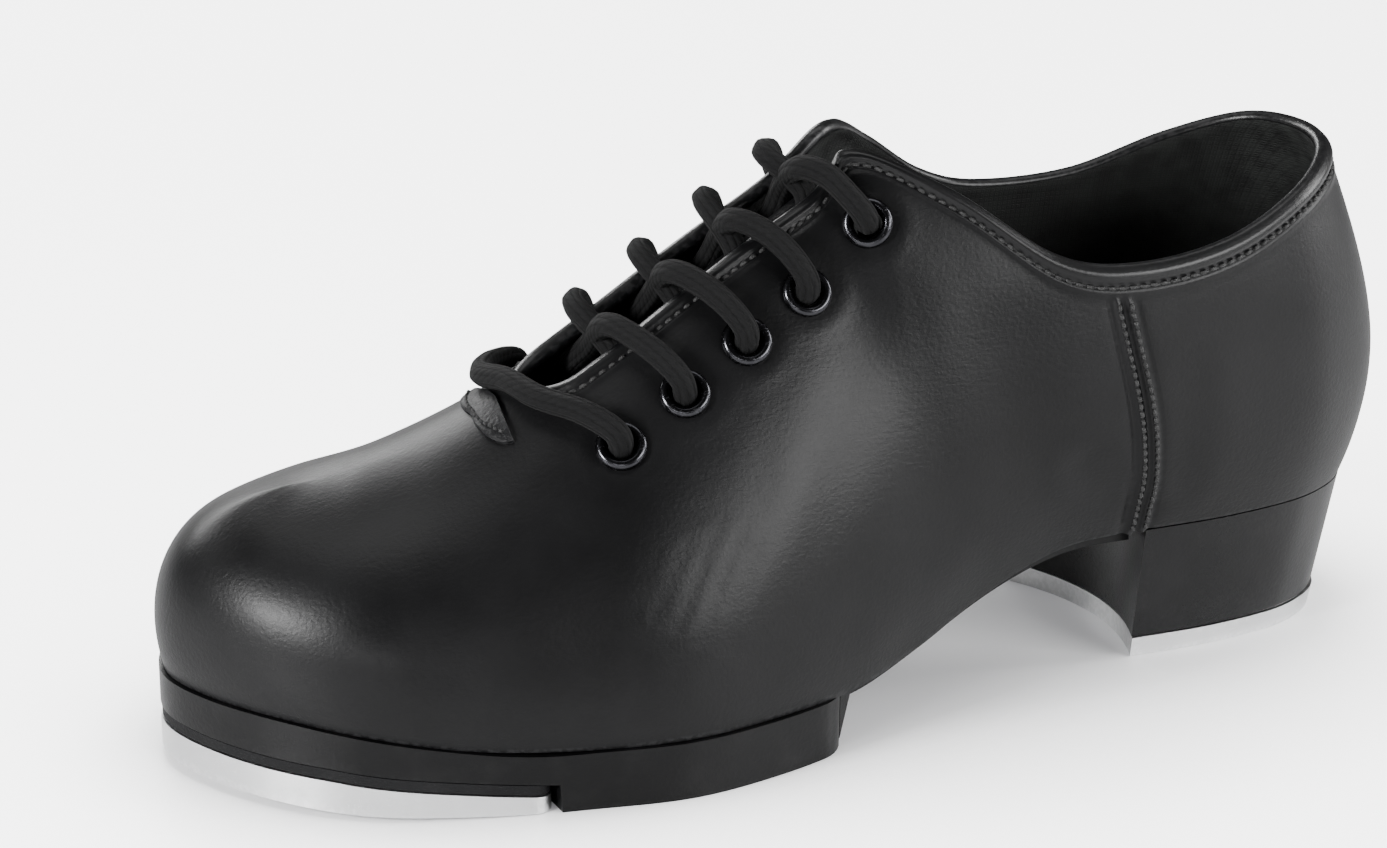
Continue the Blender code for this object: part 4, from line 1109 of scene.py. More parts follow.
def build_lace(finish):
    """The lace in one length: the bar, the crossings and the passes hidden under the facings."""
    bar = lace_pass(BAR, OUTER, 1, 2)
    route = lace_half(OUTER)[::-1] + bar + lace_half(INNER)
    line, places = smooth_line(route, LACE_STEP)
    for _ in range(LACE_EASINGS):
        line[1:-1] = line[1:-1] * 0.5 + (line[:-2] + line[2:]) * 0.25
    sides = LACE_SIDES
    tangent = unit(np.gradient(line, axis=0))
    normal = np.cross(tangent[0], [0.0, 1.0, 0.2])
    points, marks = [], []
    angles = np.linspace(0, 2 * math.pi, sides, endpoint=False)
    for i, centre in enumerate(line):
        normal = unit(normal - tangent[i] * (normal @ tangent[i]))
        side = np.cross(tangent[i], normal)
        end = min(places[i], places[-1] - places[i]) / (LACE_DIAMETER / 2)
        radius = LACE_DIAMETER / 2 * math.sqrt(max(1 - max(1 - end, 0) ** 2, 0.02))
        rib = 1 + RIB_DEPTH * np.cos(SOFT_RIBS * angles + RIB_SWAY * math.sin(places[i] / SWAY_LENGTH))
        rib *= 1 + SWELL * math.sin(places[i] / SWELL_LENGTH)
        for angle, swell in zip(angles, rib):
            points.append(centre + radius * swell * (normal * math.cos(angle) + side * math.sin(angle)))
            marks += [math.cos(angle), math.sin(angle), places[i]]
    faces = grid_faces(len(line), sides, closed_columns=True)
    faces.append(list(range(sides)))
    faces.append(list(range(len(points) - 1, len(points) - sides - 1, -1)))
    lace = mesh_piece("lace_braid", points, faces, [finish["lace_cord"]], smooth=70, merge=0)
    mark = lace.data.attributes.new("lace_place", "FLOAT_VECTOR", "POINT")
    mark.data.foreach_set("vector", np.array(marks, np.float32))
    nodes = ["lace_bar"] + [f"lace_crossing_{i}" for i in range(1, EYELET_COUNT)]
    placed(lace, "lace_cord", *nodes)


# Sole, heel and taps.


def foot_station(s):
    """Station, without its side, whose foot is at a length."""
    return float(solve(lambda station: s - length_of(skin(station, 0)[..., 0]), 0, BACK))


def rib_outline(station, grow=0.0, hollow=0.0, skew=0.0, spans=14):
    """Points across the foot at a station, outer edge first, bowed back by a hollow and skewed."""
    station = np.asarray(float(station))
    outer = skin(station, 0) + outward(station) * grow
    inner = skin(-station, 0) + outward(-station) * grow
    share = np.linspace(0, 1, spans + 1)
    points = outer + (inner - outer) * share[:, None]
    points[:, 0] += hollow * (1 - (2 * share - 1) ** 2) - skew * (share - 0.5)
    return points


def narrowed(outline, cut):
    """A rib's outline drawn in by a cut on each side."""
    scale = 1 - 2 * cut / abs(outline[0][1] - outline[-1][1])
    middle = (outline[0][1] + outline[-1][1]) / 2
    drawn = outline.copy()
    drawn[:, 1] = middle + (outline[:, 1] - middle) * scale
    return drawn


def rounded(outline, end, corner):
    """A rib's outline drawn in where it lies within a rounded corner of a piece's end."""
    short = max(corner - abs(float(length_of(outline[0][0])) - end), 0)
    cut = corner - math.sqrt(corner**2 - short**2)
    return narrowed(outline, cut) if cut > 0 else outline


def at_height(outline, height):
    """An outline's points at a height, which is a number or a function of x."""
    flat = outline.copy()
    flat[:, 2] = height(outline[:, 0]) if callable(height) else height
    return flat


def slab_piece(name, ribs, material, edge):
    """A closed solid from ribs, each a row of points below and a row above."""
    low, high = (np.array([rib[i] for rib in ribs]) for i in (0, 1))
    return softened(sheet_piece(name, low, high, [material], smooth=35, side_rows=SIDE_ROWS), edge)


def toe_stations(end, step=0.12):
    """Stations from the toe tip to an end, closer together at the tip."""
    near = [0, 0.04, 0.1, 0.18, 0.28, 0.4, 0.52, 0.64, 0.76, 0.88]
    return near + list(np.linspace(1, end, round((end - 1) / step)))


def tap_bottom(x):
    """Height of the toe tap's underside, which lifts a little towards the toe."""
    return TOE_LIFT * (length_of(x) - TOE_TAP_START) / (LENGTH - TOE_TAP_START)


def tap_top(x):
    """Height of the toe tap's upper side: the tap thickens towards the toe."""
    share = (length_of(x) - TOE_TAP_START) / (LENGTH - TOE_TAP_START)
    return tap_bottom(x) + TOE_TAP_BACK + (TOE_TAP_FRONT - TOE_TAP_BACK) * np.minimum(TAP_RAMP * share, 1)


def pad_top(x):
    """Height of the upper side of the pad on the toe tap."""
    return tap_top(x) + GAP + TAP_PAD_THICKNESS


def under_seat(x):
    """Height of the faces that carry the last's underside."""
    return seat_height(x) - GAP


def under_waist(x):
    """Height of the waist's upper side, a little lower where the last's underside curves most."""
    share = (length_of(x) - BREAST) / (WAIST_END - BREAST)
    return under_seat(x) - (WAIST_GAP - GAP) * np.sin(math.pi * np.clip(share, 0, 1))


CORNER_SHARES = (1, 0.8, 0.6, 0.4, 0.25, 0.12, 0.04)


def build_outsole(finish):
    """The outsole: a flat forepart recessed for the toe tap, then a narrow waist up to the heel's breast."""
    ribs = []
    for station in toe_stations(foot_station(TOE_TAP_START)):
        outline = rib_outline(station, SOLE_EDGE)
        ribs.append((at_height(outline, lambda x: pad_top(x) + GAP), at_height(outline, under_seat)))
    sole_start = foot_station(TOE_TAP_START - RECESS_DRAFT)
    corner = [foot_station(FOREPART_END + SOLE_CORNER * share) for share in (*CORNER_SHARES, 0)]
    for station in list(np.linspace(sole_start, corner[0], 30, endpoint=False)) + corner:
        outline = rounded(rib_outline(station, SOLE_EDGE), FOREPART_END, SOLE_CORNER)
        ribs.append((at_height(outline, 0.0), at_height(outline, under_seat)))
    waist_start = foot_station(FOREPART_END - FOREPART_SLOPE)
    waist_end = foot_station(BREAST + GAP)
    for station in np.linspace(waist_start, waist_end, 44):
        share = (station - waist_start) / (waist_end - waist_start)
        outline = narrowed(rib_outline(station, 0, BREAST_HOLLOW * share, BREAST_SKEW * share), WAIST_INSET)
        below = at_height(outline, lambda x: under_waist(x) - WAIST_SOLE)
        ribs.append((below, at_height(outline, under_waist)))
    sole = slab_piece("sole", ribs, finish["outsole"], SOLE_BEVEL)
    placed(sole, "outsole", "outsole")


def build_toe_tap(finish):
    """The bright toe tap and the thin pad above it."""
    end = foot_station(TOE_TAP_START + GAP)
    corner = [foot_station(TOE_TAP_START + GAP + TOE_TAP_CORNER * share) for share in CORNER_SHARES]
    back = float(length_of(skin(end, 0)[0]))
    tap, pad = [], []
    for station in toe_stations(corner[0])[:-1] + corner + [end]:
        outline = rounded(rib_outline(station, SOLE_EDGE), back, TOE_TAP_CORNER)
        tap.append((at_height(outline, tap_bottom), at_height(outline, tap_top)))
        inset = rounded(rib_outline(station, SOLE_EDGE - 0.0003), back, TOE_TAP_CORNER)
        pad.append((at_height(inset, lambda x: tap_top(x) + GAP), at_height(inset, pad_top)))
    plate = slab_piece("toe_tap_plate", tap, finish["tap_metal"], TOE_TAP_BEVEL)
    placed(plate, "tap_metal", "toe_tap")
    sheet = slab_piece("toe_tap_pad_sheet", pad, finish["tap_pad"], TAP_PAD_BEVEL)
    placed(sheet, "tap_pad", "toe_tap_pad")


def heel_ribs(heights, grow):
    """Ribs of a heel piece through its heights: the heel narrows towards the floor from its breast back."""
    start = foot_station(BREAST)
    breast_x = HEEL_CENTRE - BREAST
    near = BACK - np.array([0.6, 0.47, 0.35, 0.25, 0.16, 0.08, 0.03, 0])
    ribs = []
    for station in list(np.linspace(start, near[0], 40, endpoint=False)) + list(near):
        behind = (BREAST - float(length_of(skin(station, 0)[0]))) / BREAST
        fade = max(1 - HOLLOW_FADE * behind, 0)
        outline = rib_outline(station, 0, BREAST_HOLLOW * fade, BREAST_SKEW * fade)
        rib = []
        for height in heights:
            z = height(outline[:, 0]) if callable(height) else np.full(len(outline), height)
            taper = HEEL_TAPER * (1 - z / HEEL_HEIGHT) - grow
            x = breast_x + (outline[:, 0] - breast_x) * (1 - taper / BREAST)
            y = outline[:, 1] * (1 - SIDE_TAPER * taper / HEEL_WIDTH)
            rib.append(np.stack([x, y, z], -1))
        ribs.append(rib)
    return ribs


def build_heel(finish):
    """The heel block with its hollow breast, and the metal tap under it."""
    block = heel_ribs((HEEL_TAP_THICKNESS + GAP, under_seat), 0)
    tap = heel_ribs((0.0, HEEL_TAP_THICKNESS), HEEL_TAP_LIP)
    placed(slab_piece("heel_block", block, finish["heel_block"], HEEL_BEVEL), "heel_block", "heel")
    placed(slab_piece("heel_tap_plate", tap, finish["tap_metal"], HEEL_TAP_BEVEL), "tap_metal", "heel_tap")


# Materials.


def place_node(tree, kind, inputs=None, **options):
    """A node with its options set, its plain inputs filled and its linked inputs joined."""
    item = tree.nodes.new(kind)
    for name, value in options.items():
        setattr(item, name, value)
    for key, value in (inputs or {}).items():
        if isinstance(value, bpy.types.NodeSocket):
            tree.links.new(value, item.inputs[key])
        else:
            item.inputs[key].default_value = value
    return item


def maths(tree, operation, first, second=0.0, clamp=False):
    """The output of a Math node."""
    return place_node(
        tree, "ShaderNodeMath", {0: first, 1: second}, operation=operation, use_clamp=clamp
    ).outputs[0]


def ranged(tree, value, low, high, to_low=0.0, to_high=1.0):
    """A value moved smoothly from one range to another."""
    inputs = {"Value": value, "From Min": low, "From Max": high, "To Min": to_low, "To Max": to_high}
    return place_node(tree, "ShaderNodeMapRange", inputs, interpolation_type="SMOOTHSTEP").outputs[0]


def mixed(tree, share, first, second):
    """The output of a colour mix."""
    item = place_node(tree, "ShaderNodeMix", data_type="RGBA", clamp_factor=True)
    for index, value in ((0, share), (6, first), (7, second)):
        if isinstance(value, bpy.types.NodeSocket):
            tree.links.new(value, item.inputs[index])
        else:
            item.inputs[index].default_value = value
    return item.outputs[2]


def new_group(name, inputs, outputs):
    """A shader node group: (name, kind, default) for each input and (name, kind) for each output."""
    tree = bpy.data.node_groups.new(name, "ShaderNodeTree")
    kinds = {"value": "NodeSocketFloat", "colour": "NodeSocketColor", "vector": "NodeSocketVector"}
    for label, kind, default in inputs:
        socket = tree.interface.new_socket(name=label, in_out="INPUT", socket_type=kinds[kind])
        socket.default_value = default
    for label, kind in outputs:
        tree.interface.new_socket(name=label, in_out="OUTPUT", socket_type=kinds[kind])
    return tree, tree.nodes.new("NodeGroupInput").outputs, tree.nodes.new("NodeGroupOutput").inputs


def stretched(tree, vector, scale, rotation=(0.0, 0.0, 0.0)):
    """A vector turned and scaled."""
    inputs = {"Vector": vector, "Rotation": rotation, "Scale": scale}
    return place_node(tree, "ShaderNodeMapping", inputs).outputs[0]


def place_in_space(tree):
    """Object coordinates in millimetres."""
    return stretched(tree, tree.nodes.new("ShaderNodeTexCoord").outputs["Object"], (1 / MM,) * 3)


def noise(tree, vector, scale, detail, roughness=0.5, output="Fac"):
    """An output of a noise texture."""
    inputs = {"Vector": vector, "Scale": scale, "Detail": detail, "Roughness": roughness}
    return place_node(tree, "ShaderNodeTexNoise", inputs).outputs[output]


def grain_group():
    """Leather grain: fine pebbles, pores and short wrinkles, with slow changes of colour and gloss."""
    tree, given, made = new_group(
        "Leather grain",
        [("Pebble size", "value", 1.0), ("Wrinkle", "value", 0.3)],
        [("Height", "value"), ("Shade", "value"), ("Gloss change", "value")],
    )
    space = place_in_space(tree)
    wide = place_node(
        tree, "ShaderNodeVectorMath", {0: space, 1: given["Pebble size"]}, operation="MULTIPLY"
    ).outputs[0]
    bent = noise(tree, wide, 0.8, 2.0, output="Color")
    moved = place_node(tree, "ShaderNodeVectorMath", {0: wide, 1: bent}, operation="ADD").outputs[0]
    cells = place_node(
        tree, "ShaderNodeTexVoronoi", {"Vector": moved, "Scale": 1.25}, feature="SMOOTH_F1"
    ).outputs["Distance"]
    pebbles = maths(tree, "SUBTRACT", 1.0, maths(tree, "MULTIPLY", cells, 1.3), clamp=True)
    fine = noise(tree, space, 5.0, 3.0)
    long_space = stretched(tree, space, (0.28, 1.0, 1.1), (0.3, 0.5, 0.4))
    lines = noise(tree, long_space, 0.55, 5.0, 0.62)
    ridged = maths(tree, "ABSOLUTE", maths(tree, "SUBTRACT", lines, 0.5))
    wrinkles = maths(tree, "MULTIPLY", ranged(tree, ridged, 0.0, 0.09), given["Wrinkle"])
    slow = noise(tree, space, 0.035, 4.0)
    height = maths(tree, "ADD", maths(tree, "MULTIPLY", pebbles, 0.55), maths(tree, "MULTIPLY", fine, 0.35))
    tree.links.new(maths(tree, "ADD", height, wrinkles), made["Height"])
    tree.links.new(slow, made["Shade"])
    gloss = maths(tree, "ADD", maths(tree, "MULTIPLY", fine, 0.5), maths(tree, "MULTIPLY", slow, 0.5))
    tree.links.new(gloss, made["Gloss change"])
    return tree


WEAR_START = 0.525


def wear_group():
    """Rubbed edges: a mask where the surface turns sharply outwards, broken up by noise."""
    tree, given, made = new_group("Edge wear", [("Reach", "value", 0.55)], [("Mask", "value")])
    point = tree.nodes.new("ShaderNodeNewGeometry").outputs["Pointiness"]
    broken = noise(tree, place_in_space(tree), 0.9, 5.0)
    edge = ranged(tree, point, WEAR_START, given["Reach"])
    tree.links.new(maths(tree, "MULTIPLY", edge, ranged(tree, broken, 0.42, 0.62)), made["Mask"])
    return tree


def dust_group():
    """Specks and faint dust: a mask of small spots and soft patches, heavier near the floor."""
    tree, given, made = new_group(
        "Dust and scuffs", [("Amount", "value", 0.3), ("Low height", "value", 20.0)],
        [("Mask", "value"), ("Scratches", "value")],
    )
    space = place_in_space(tree)
    height = place_node(tree, "ShaderNodeSeparateXYZ", {0: space}).outputs["Z"]
    low = ranged(tree, maths(tree, "DIVIDE", height, given["Low height"]), 0.0, 1.0, 1.0, 0.25)
    specks = noise(tree, space, 3.1, 2.0)
    patches = noise(tree, space, 0.12, 5.0)
    spots = ranged(tree, specks, 0.66, 0.80)
    soft = maths(tree, "MULTIPLY", ranged(tree, patches, 0.45, 0.75), 0.5)
    amount = maths(tree, "MULTIPLY", low, given["Amount"])
    mask = maths(tree, "MULTIPLY", maths(tree, "ADD", spots, soft), amount)
    tree.links.new(maths(tree, "MINIMUM", mask, 1.0), made["Mask"])
    drawn = stretched(tree, space, (0.16, 3.2, 1.6), (0.0, 0.0, 0.35))
    lines = noise(tree, drawn, 1.0, 4.0)
    tree.links.new(ranged(tree, lines, 0.60, 0.68), made["Scratches"])
    return tree


def weave_group():
    """Plain cloth weave with crossing threads."""
    tree, given, made = new_group(
        "Cloth weave", [("Threads per mm", "value", 1.6)], [("Height", "value"), ("Shade", "value")]
    )
    space = place_in_space(tree)
    spun = place_node(
        tree, "ShaderNodeVectorMath", {0: space, "Scale": given["Threads per mm"]}, operation="SCALE"
    )
    parts = place_node(tree, "ShaderNodeSeparateXYZ", {0: spun.outputs[0]}).outputs
    waves = []
    for axis, other in (("X", "Z"), ("Z", "X")):
        thread = maths(tree, "SINE", maths(tree, "MULTIPLY", parts[axis], 2 * math.pi))
        beat = maths(tree, "SINE", maths(tree, "MULTIPLY", parts[other], math.pi))
        waves.append(maths(tree, "MULTIPLY", maths(tree, "ADD", thread, 1.0), maths(tree, "ADD", beat, 1.4)))
    tree.links.new(maths(tree, "MULTIPLY", maths(tree, "MAXIMUM", waves[0], waves[1]), 0.25), made["Height"])
    mottle = noise(tree, space, 0.25, 6.0)
    tree.links.new(mottle, made["Shade"])
    return tree


def build_groups():
    """Every shared node group, by name."""
    return {"grain": grain_group(), "wear": wear_group(), "dust": dust_group(), "weave": weave_group()}


def use_group(tree, group, inputs):
    """A group placed in a material."""
    item = tree.nodes.new("ShaderNodeGroup")
    item.node_tree = group
    for key, value in inputs.items():
        item.inputs[key].default_value = value
    return item.outputs


def new_material(name):
    """A material with its tree and its shader."""
    material = bpy.data.materials.new(name)
    material.use_nodes = True
    tree = material.node_tree
    return material, tree, tree.nodes["Principled BSDF"]


def bump(tree, shader, height, distance):
    """Feed a height into the shader's normal."""
    item = place_node(tree, "ShaderNodeBump", {"Height": height, "Distance": distance})
    tree.links.new(item.outputs[0], shader.inputs["Normal"])


RUBBED_LEATHER = (0.05, 0.05, 0.052, 1)
DUST_COLOUR = (0.16, 0.158, 0.155, 1)
DUST_SHARE = 0.12
LEATHER_SHINE = 0.22
COAT_ROUGHNESS = 0.32


def leather_finish(groups, name, colour, roughness, grain, wrinkle=0.3, coat=0.0, dust=0.12, wear=0.25):
    """Black leather with grain, rubbed edges, faint dust and uneven gloss."""
    material, tree, shader = new_material(name)
    base = (*colour, 1)
    made = use_group(tree, groups["grain"], {"Wrinkle": wrinkle})
    edge = use_group(tree, groups["wear"], {"Reach": 0.56})["Mask"]
    dusty = use_group(tree, groups["dust"], {"Amount": dust, "Low height": 60.0})["Mask"]
    lighter = tuple(min(c * 1.5 + 0.001, 1) for c in colour)
    shade = mixed(tree, ranged(tree, made["Shade"], 0.3, 0.7), base, (*lighter, 1))
    rubbed = mixed(tree, maths(tree, "MULTIPLY", edge, wear), shade, RUBBED_LEATHER)
    dusted = mixed(tree, maths(tree, "MULTIPLY", dusty, DUST_SHARE), rubbed, DUST_COLOUR)
    tree.links.new(dusted, shader.inputs["Base Color"])
    change = ranged(tree, made["Gloss change"], 0.3, 0.7, roughness - 0.05, roughness + 0.06)
    rough = maths(tree, "ADD", change, maths(tree, "MULTIPLY", dusty, 0.25), clamp=True)
    tree.links.new(rough, shader.inputs["Roughness"])
    shader.inputs["Coat Weight"].default_value = coat
    shader.inputs["Coat Roughness"].default_value = COAT_ROUGHNESS
    shader.inputs["Specular IOR Level"].default_value = LEATHER_SHINE
    bump(tree, shader, made["Height"], grain)
    return material


def cloth_finish(groups, name, colour, accent, threads, depth, roughness=0.85):
    """Woven cloth with mottled colour and painted shade in the hollows of its weave."""
    material, tree, shader = new_material(name)
    made = use_group(tree, groups["weave"], {"Threads per mm": threads})
    shade = mixed(tree, ranged(tree, made["Shade"], 0.35, 0.65), (*colour, 1), (*accent, 1))
    # Painted shade: the weave's low places are mixed towards black.
    darker = mixed(tree, ranged(tree, made["Height"], 0.0, 0.6, 0.5, 0.0), shade, (0.002, 0.002, 0.002, 1))
    tree.links.new(darker, shader.inputs["Base Color"])
    uneven = ranged(tree, made["Shade"], 0.3, 0.7, roughness - 0.08, roughness + 0.08)
    tree.links.new(uneven, shader.inputs["Roughness"])
    bump(tree, shader, made["Height"], depth)
    return material


def metal_finish(groups, name, colour, roughness, scratch, wear_colour):
    """Metal with scratches, specks and brighter rubbed edges."""
    material, tree, shader = new_material(name)
    marks = use_group(tree, groups["dust"], {"Amount": 0.6, "Low height": 30.0})
    edge = use_group(tree, groups["wear"], {"Reach": 0.58})["Mask"]
    rubbed = mixed(tree, edge, (*colour, 1), (*wear_colour, 1))
    dull = (*(c * 0.6 for c in colour), 1)
    dulled = mixed(tree, maths(tree, "MULTIPLY", marks["Mask"], 0.4), rubbed, dull)
    tree.links.new(dulled, shader.inputs["Base Color"])
    scratched = maths(tree, "ADD", roughness, maths(tree, "MULTIPLY", marks["Scratches"], 0.18), clamp=True)
    rough = maths(tree, "ADD", scratched, maths(tree, "MULTIPLY", marks["Mask"], 0.2), clamp=True)
    tree.links.new(rough, shader.inputs["Roughness"])
    shader.inputs["Metallic"].default_value = 1.0
    bump(tree, shader, maths(tree, "MULTIPLY", marks["Scratches"], -1.0), scratch)
    return material


RIB_COUNT = 10.0
CORD_STITCH = 0.0021
RIB_SHARE = 0.72
CORD_GROOVE_SHADE = (0.0008, 0.0008, 0.0009, 1)
CORD_FUZZ = (0.008, 0.008, 0.0083, 1)


def cord_finish(name, colour):
    """Knitted cord: ribs along its length, each crossed by small slanting stitches, with painted shade in the
    grooves between them.
    """
    material, tree, shader = new_material(name)
    place = place_node(tree, "ShaderNodeAttribute", attribute_name="lace_place").outputs["Vector"]
    parts = place_node(tree, "ShaderNodeSeparateXYZ", {0: place}).outputs
    angle = maths(tree, "DIVIDE", maths(tree, "ARCTAN2", parts["Y"], parts["X"]), 2 * math.pi)
    around = maths(tree, "MULTIPLY", angle, RIB_COUNT)
    along = maths(tree, "DIVIDE", parts["Z"], CORD_STITCH)
    rib = maths(tree, "ABSOLUTE", maths(tree, "SINE", maths(tree, "MULTIPLY", around, math.pi)))
    turn = maths(tree, "ADD", along, around)
    stitch = maths(tree, "ABSOLUTE", maths(tree, "SINE", maths(tree, "MULTIPLY", turn, math.pi)))
    ribs = maths(tree, "MULTIPLY", maths(tree, "POWER", rib, 0.7), RIB_SHARE)
    height = maths(tree, "ADD", ribs, maths(tree, "MULTIPLY", stitch, 1 - RIB_SHARE))
    fibre = noise(tree, place_in_space(tree), 9.0, 3.0)
    rough_height = maths(tree, "ADD", height, maths(tree, "MULTIPLY", fibre, 0.35))
    # Painted shade: the low places between ribs and stitches are mixed towards near black.
    base = mixed(tree, ranged(tree, height, 0.1, 0.9), CORD_GROOVE_SHADE, (*colour, 1))
    fuzzy = mixed(tree, ranged(tree, fibre, 0.55, 0.8, 0.0, 0.3), base, CORD_FUZZ)
    tree.links.new(fuzzy, shader.inputs["Base Color"])
    tree.links.new(ranged(tree, fibre, 0.3, 0.7, 0.72, 0.95), shader.inputs["Roughness"])
    shader.inputs["Specular IOR Level"].default_value = LEATHER_SHINE
    shader.inputs["Sheen Weight"].default_value = 0.02
    shader.inputs["Sheen Roughness"].default_value = 0.5
    bump(tree, shader, rough_height, 0.00034)
    return material


# The floor glows for the camera alone, less where the shoe stands close over it: a painted contact shadow.
FLOOR_GLOW = 4.2
SHADE_REACH = 0.10
SHADE_COLOUR = (0.03, 0.03, 0.032, 1)
FLOOR_WHITE = (1, 1, 1, 1)


def floor_finish(colour):
    """Pale matte studio floor with the faintest unevenness and a painted contact shadow round the shoe."""
    material, tree, shader = new_material("studio_floor")
    cloud = noise(tree, place_in_space(tree), 0.004, 3.0)
    darker = tuple(c * 0.985 for c in colour)
    tree.links.new(mixed(tree, cloud, (*colour, 1), (*darker, 1)), shader.inputs["Base Color"])
    tree.links.new(ranged(tree, cloud, 0.3, 0.7, 0.32, 0.40), shader.inputs["Roughness"])
    shader.inputs["Specular IOR Level"].default_value = 0.25
    seen = tree.nodes.new("ShaderNodeLightPath").outputs["Is Camera Ray"]
    open_air = place_node(
        tree, "ShaderNodeAmbientOcclusion", {"Distance": SHADE_REACH}, samples=8
    ).outputs["AO"]
    # Painted contact shadow: the glow's colour fades to dark grey where occlusion finds the shoe close by.
    share = maths(tree, "POWER", ranged(tree, open_air, 0.35, 1.0), 1.5)
    tree.links.new(mixed(tree, share, SHADE_COLOUR, FLOOR_WHITE), shader.inputs["Emission Color"])
    tree.links.new(maths(tree, "MULTIPLY", seen, FLOOR_GLOW), shader.inputs["Emission Strength"])
    return material


def build_finishes(settings):
    """Every finish of the shoe, by name."""
    groups = build_groups()
    black = tuple(settings.leather_colour)
    gloss = settings.leather_roughness
    metal = tuple(settings.tap_colour)
    return {
        "upper_leather": leather_finish(
            groups, "upper_leather_black", black, gloss, 0.00005, wrinkle=0.18, coat=0.06
        ),
        "binding_leather": leather_finish(
            groups, "binding_leather_black", black, gloss - 0.06, 0.00006, wrinkle=0.1, coat=0.25, wear=0.5
        ),
        # The stay is the upper's leather painted 1.6 times lighter: a painted highlight over the raised stay.
        "stay_leather_highlit": leather_finish(
            groups, "stay_leather_black", tuple(c * 1.6 for c in black), gloss, 0.00012, wear=0.6
        ),
        "tongue_leather": leather_finish(
            groups, "tongue_leather_black", black, gloss + 0.12, 0.00012, wrinkle=0.6
        ),
        "outsole": leather_finish(
            groups, "outsole_black", tuple(c * 0.8 for c in black), 0.34, 0.00004,
            wrinkle=0.15, dust=0.35, wear=0.05,
        ),
        "heel_block": leather_finish(
            groups, "heel_block_black", black, 0.30, 0.00003, wrinkle=0.1, coat=0.08, dust=0.25, wear=0.05
        ),
        "tap_pad": leather_finish(
            groups, "tap_pad_black", tuple(c * 1.8 for c in black), 0.7, 0.00008,
            wrinkle=0.4, dust=0.4, wear=0.05,
        ),
        "thread": cloth_finish(
            groups, "thread_black", (0.012, 0.012, 0.012), (0.028, 0.028, 0.028), 4.0, 0.00006, 0.6
        ),
        "lining_cloth": cloth_finish(
            groups, "lining_cloth_dark", (0.0035, 0.0040, 0.0036), (0.0085, 0.0100, 0.0088),
            1.8, 0.00006, 0.75,
        ),
        "insole": cloth_finish(
            groups, "insole_dark", (0.02, 0.02, 0.02), (0.035, 0.035, 0.036), 1.3, 0.00010
        ),
        "tap_metal": metal_finish(groups, "tap_metal_bright", metal, 0.30, 0.00002, (0.97, 0.97, 0.98)),
        "eyelet_metal": metal_finish(
            groups, "eyelet_metal_dark", (0.045, 0.045, 0.05), 0.22, 0.00001, (0.2, 0.2, 0.21)
        ),
        "lace_cord": cord_finish("lace_cord_black", tuple(settings.lace_colour)),
    }


# Floor, lights and camera.


# Soft rectangular lights that face the middle of the shoe: place and size in metres, power in watts.
StudioLight = namedtuple("StudioLight", "name place size power")
LIGHTS = (
    StudioLight("key_light", (-0.91, -0.18, 0.36), (0.20, 0.22), 12.0),
    StudioLight("top_light", (-0.25, 0.88, 0.42), (0.9, 0.14), 6.0),
    StudioLight("rear_light", (0.80, -0.15, 0.40), (0.25, 0.5), 6.0),
    StudioLight("side_light", (0.50, -0.88, 0.44), (0.8, 0.44), 12.5),
    StudioLight("band_light", (-0.60, -0.72, 0.22), (0.45, 0.08), 1.2),
    StudioLight("ceiling_light", (0.0, 0.2, 1.3), (1.2, 0.8), 7.0),
)
LIT_POINT = (-0.10, 0.0, 0.04)


def area_light(light):
    """One studio light, turned towards the shoe."""
    data = bpy.data.lights.new(light.name, "AREA")
    data.shape = "RECTANGLE"
    data.size, data.size_y = light.size
    data.energy = light.power
    item = linked(light.name, data)
    item.location = light.place
    item.rotation_mode = "QUATERNION"
    item.rotation_quaternion = (Vector(LIT_POINT) - Vector(light.place)).to_track_quat("-Z", "Y")


CAMERA_AZIMUTH = -25.34
CAMERA_ELEVATION = 19.21
CAMERA_ROLL = 0.29
CAMERA_DISTANCE = 0.70554
CAMERA_TARGET = (-0.1105, 0.01206, 0.0511)
CAMERA_LENS = 90.07
SENSOR_WIDTH = 36.0
FLOOR_HALF = 6.0
FLOOR_DROP = 0.00005


def build_stage(settings):
    """The pale floor, soft lights, world light and the camera at the photograph's angle."""
    corners = [(x * FLOOR_HALF, y * FLOOR_HALF, 0) for x, y in ((-1, -1), (1, -1), (1, 1), (-1, 1))]
    finish = floor_finish(tuple(settings.floor_colour))
    floor = mesh_piece("studio_floor_sheet", corners, [(0, 1, 2, 3)], [finish])
    floor.location.z = -FLOOR_DROP
    world = bpy.data.worlds.new("studio_air")
    world.use_nodes = True
    sky = world.node_tree.nodes["Background"]
    sky.inputs["Color"].default_value = (1, 1, 1, 1)
    sky.inputs["Strength"].default_value = settings.air_light
    bpy.context.scene.world = world
    for light in LIGHTS:
        area_light(light)
    azimuth, elevation = math.radians(CAMERA_AZIMUTH), math.radians(CAMERA_ELEVATION)
    back = Vector((
        math.sin(azimuth) * math.cos(elevation), -math.cos(azimuth) * math.cos(elevation), math.sin(elevation)
    ))
    data = bpy.data.cameras.new("photo_camera")
    data.lens = CAMERA_LENS
    data.sensor_width = SENSOR_WIDTH
    camera = linked("photo_camera", data)
    camera.location = Vector(CAMERA_TARGET) + back * CAMERA_DISTANCE
    camera.rotation_mode = "QUATERNION"
    turn = (-back).to_track_quat("-Z", "Y")
    camera.rotation_quaternion = turn @ Quaternion((0, 0, 1), math.radians(CAMERA_ROLL))
    bpy.context.scene.camera = camera


# Add-on.


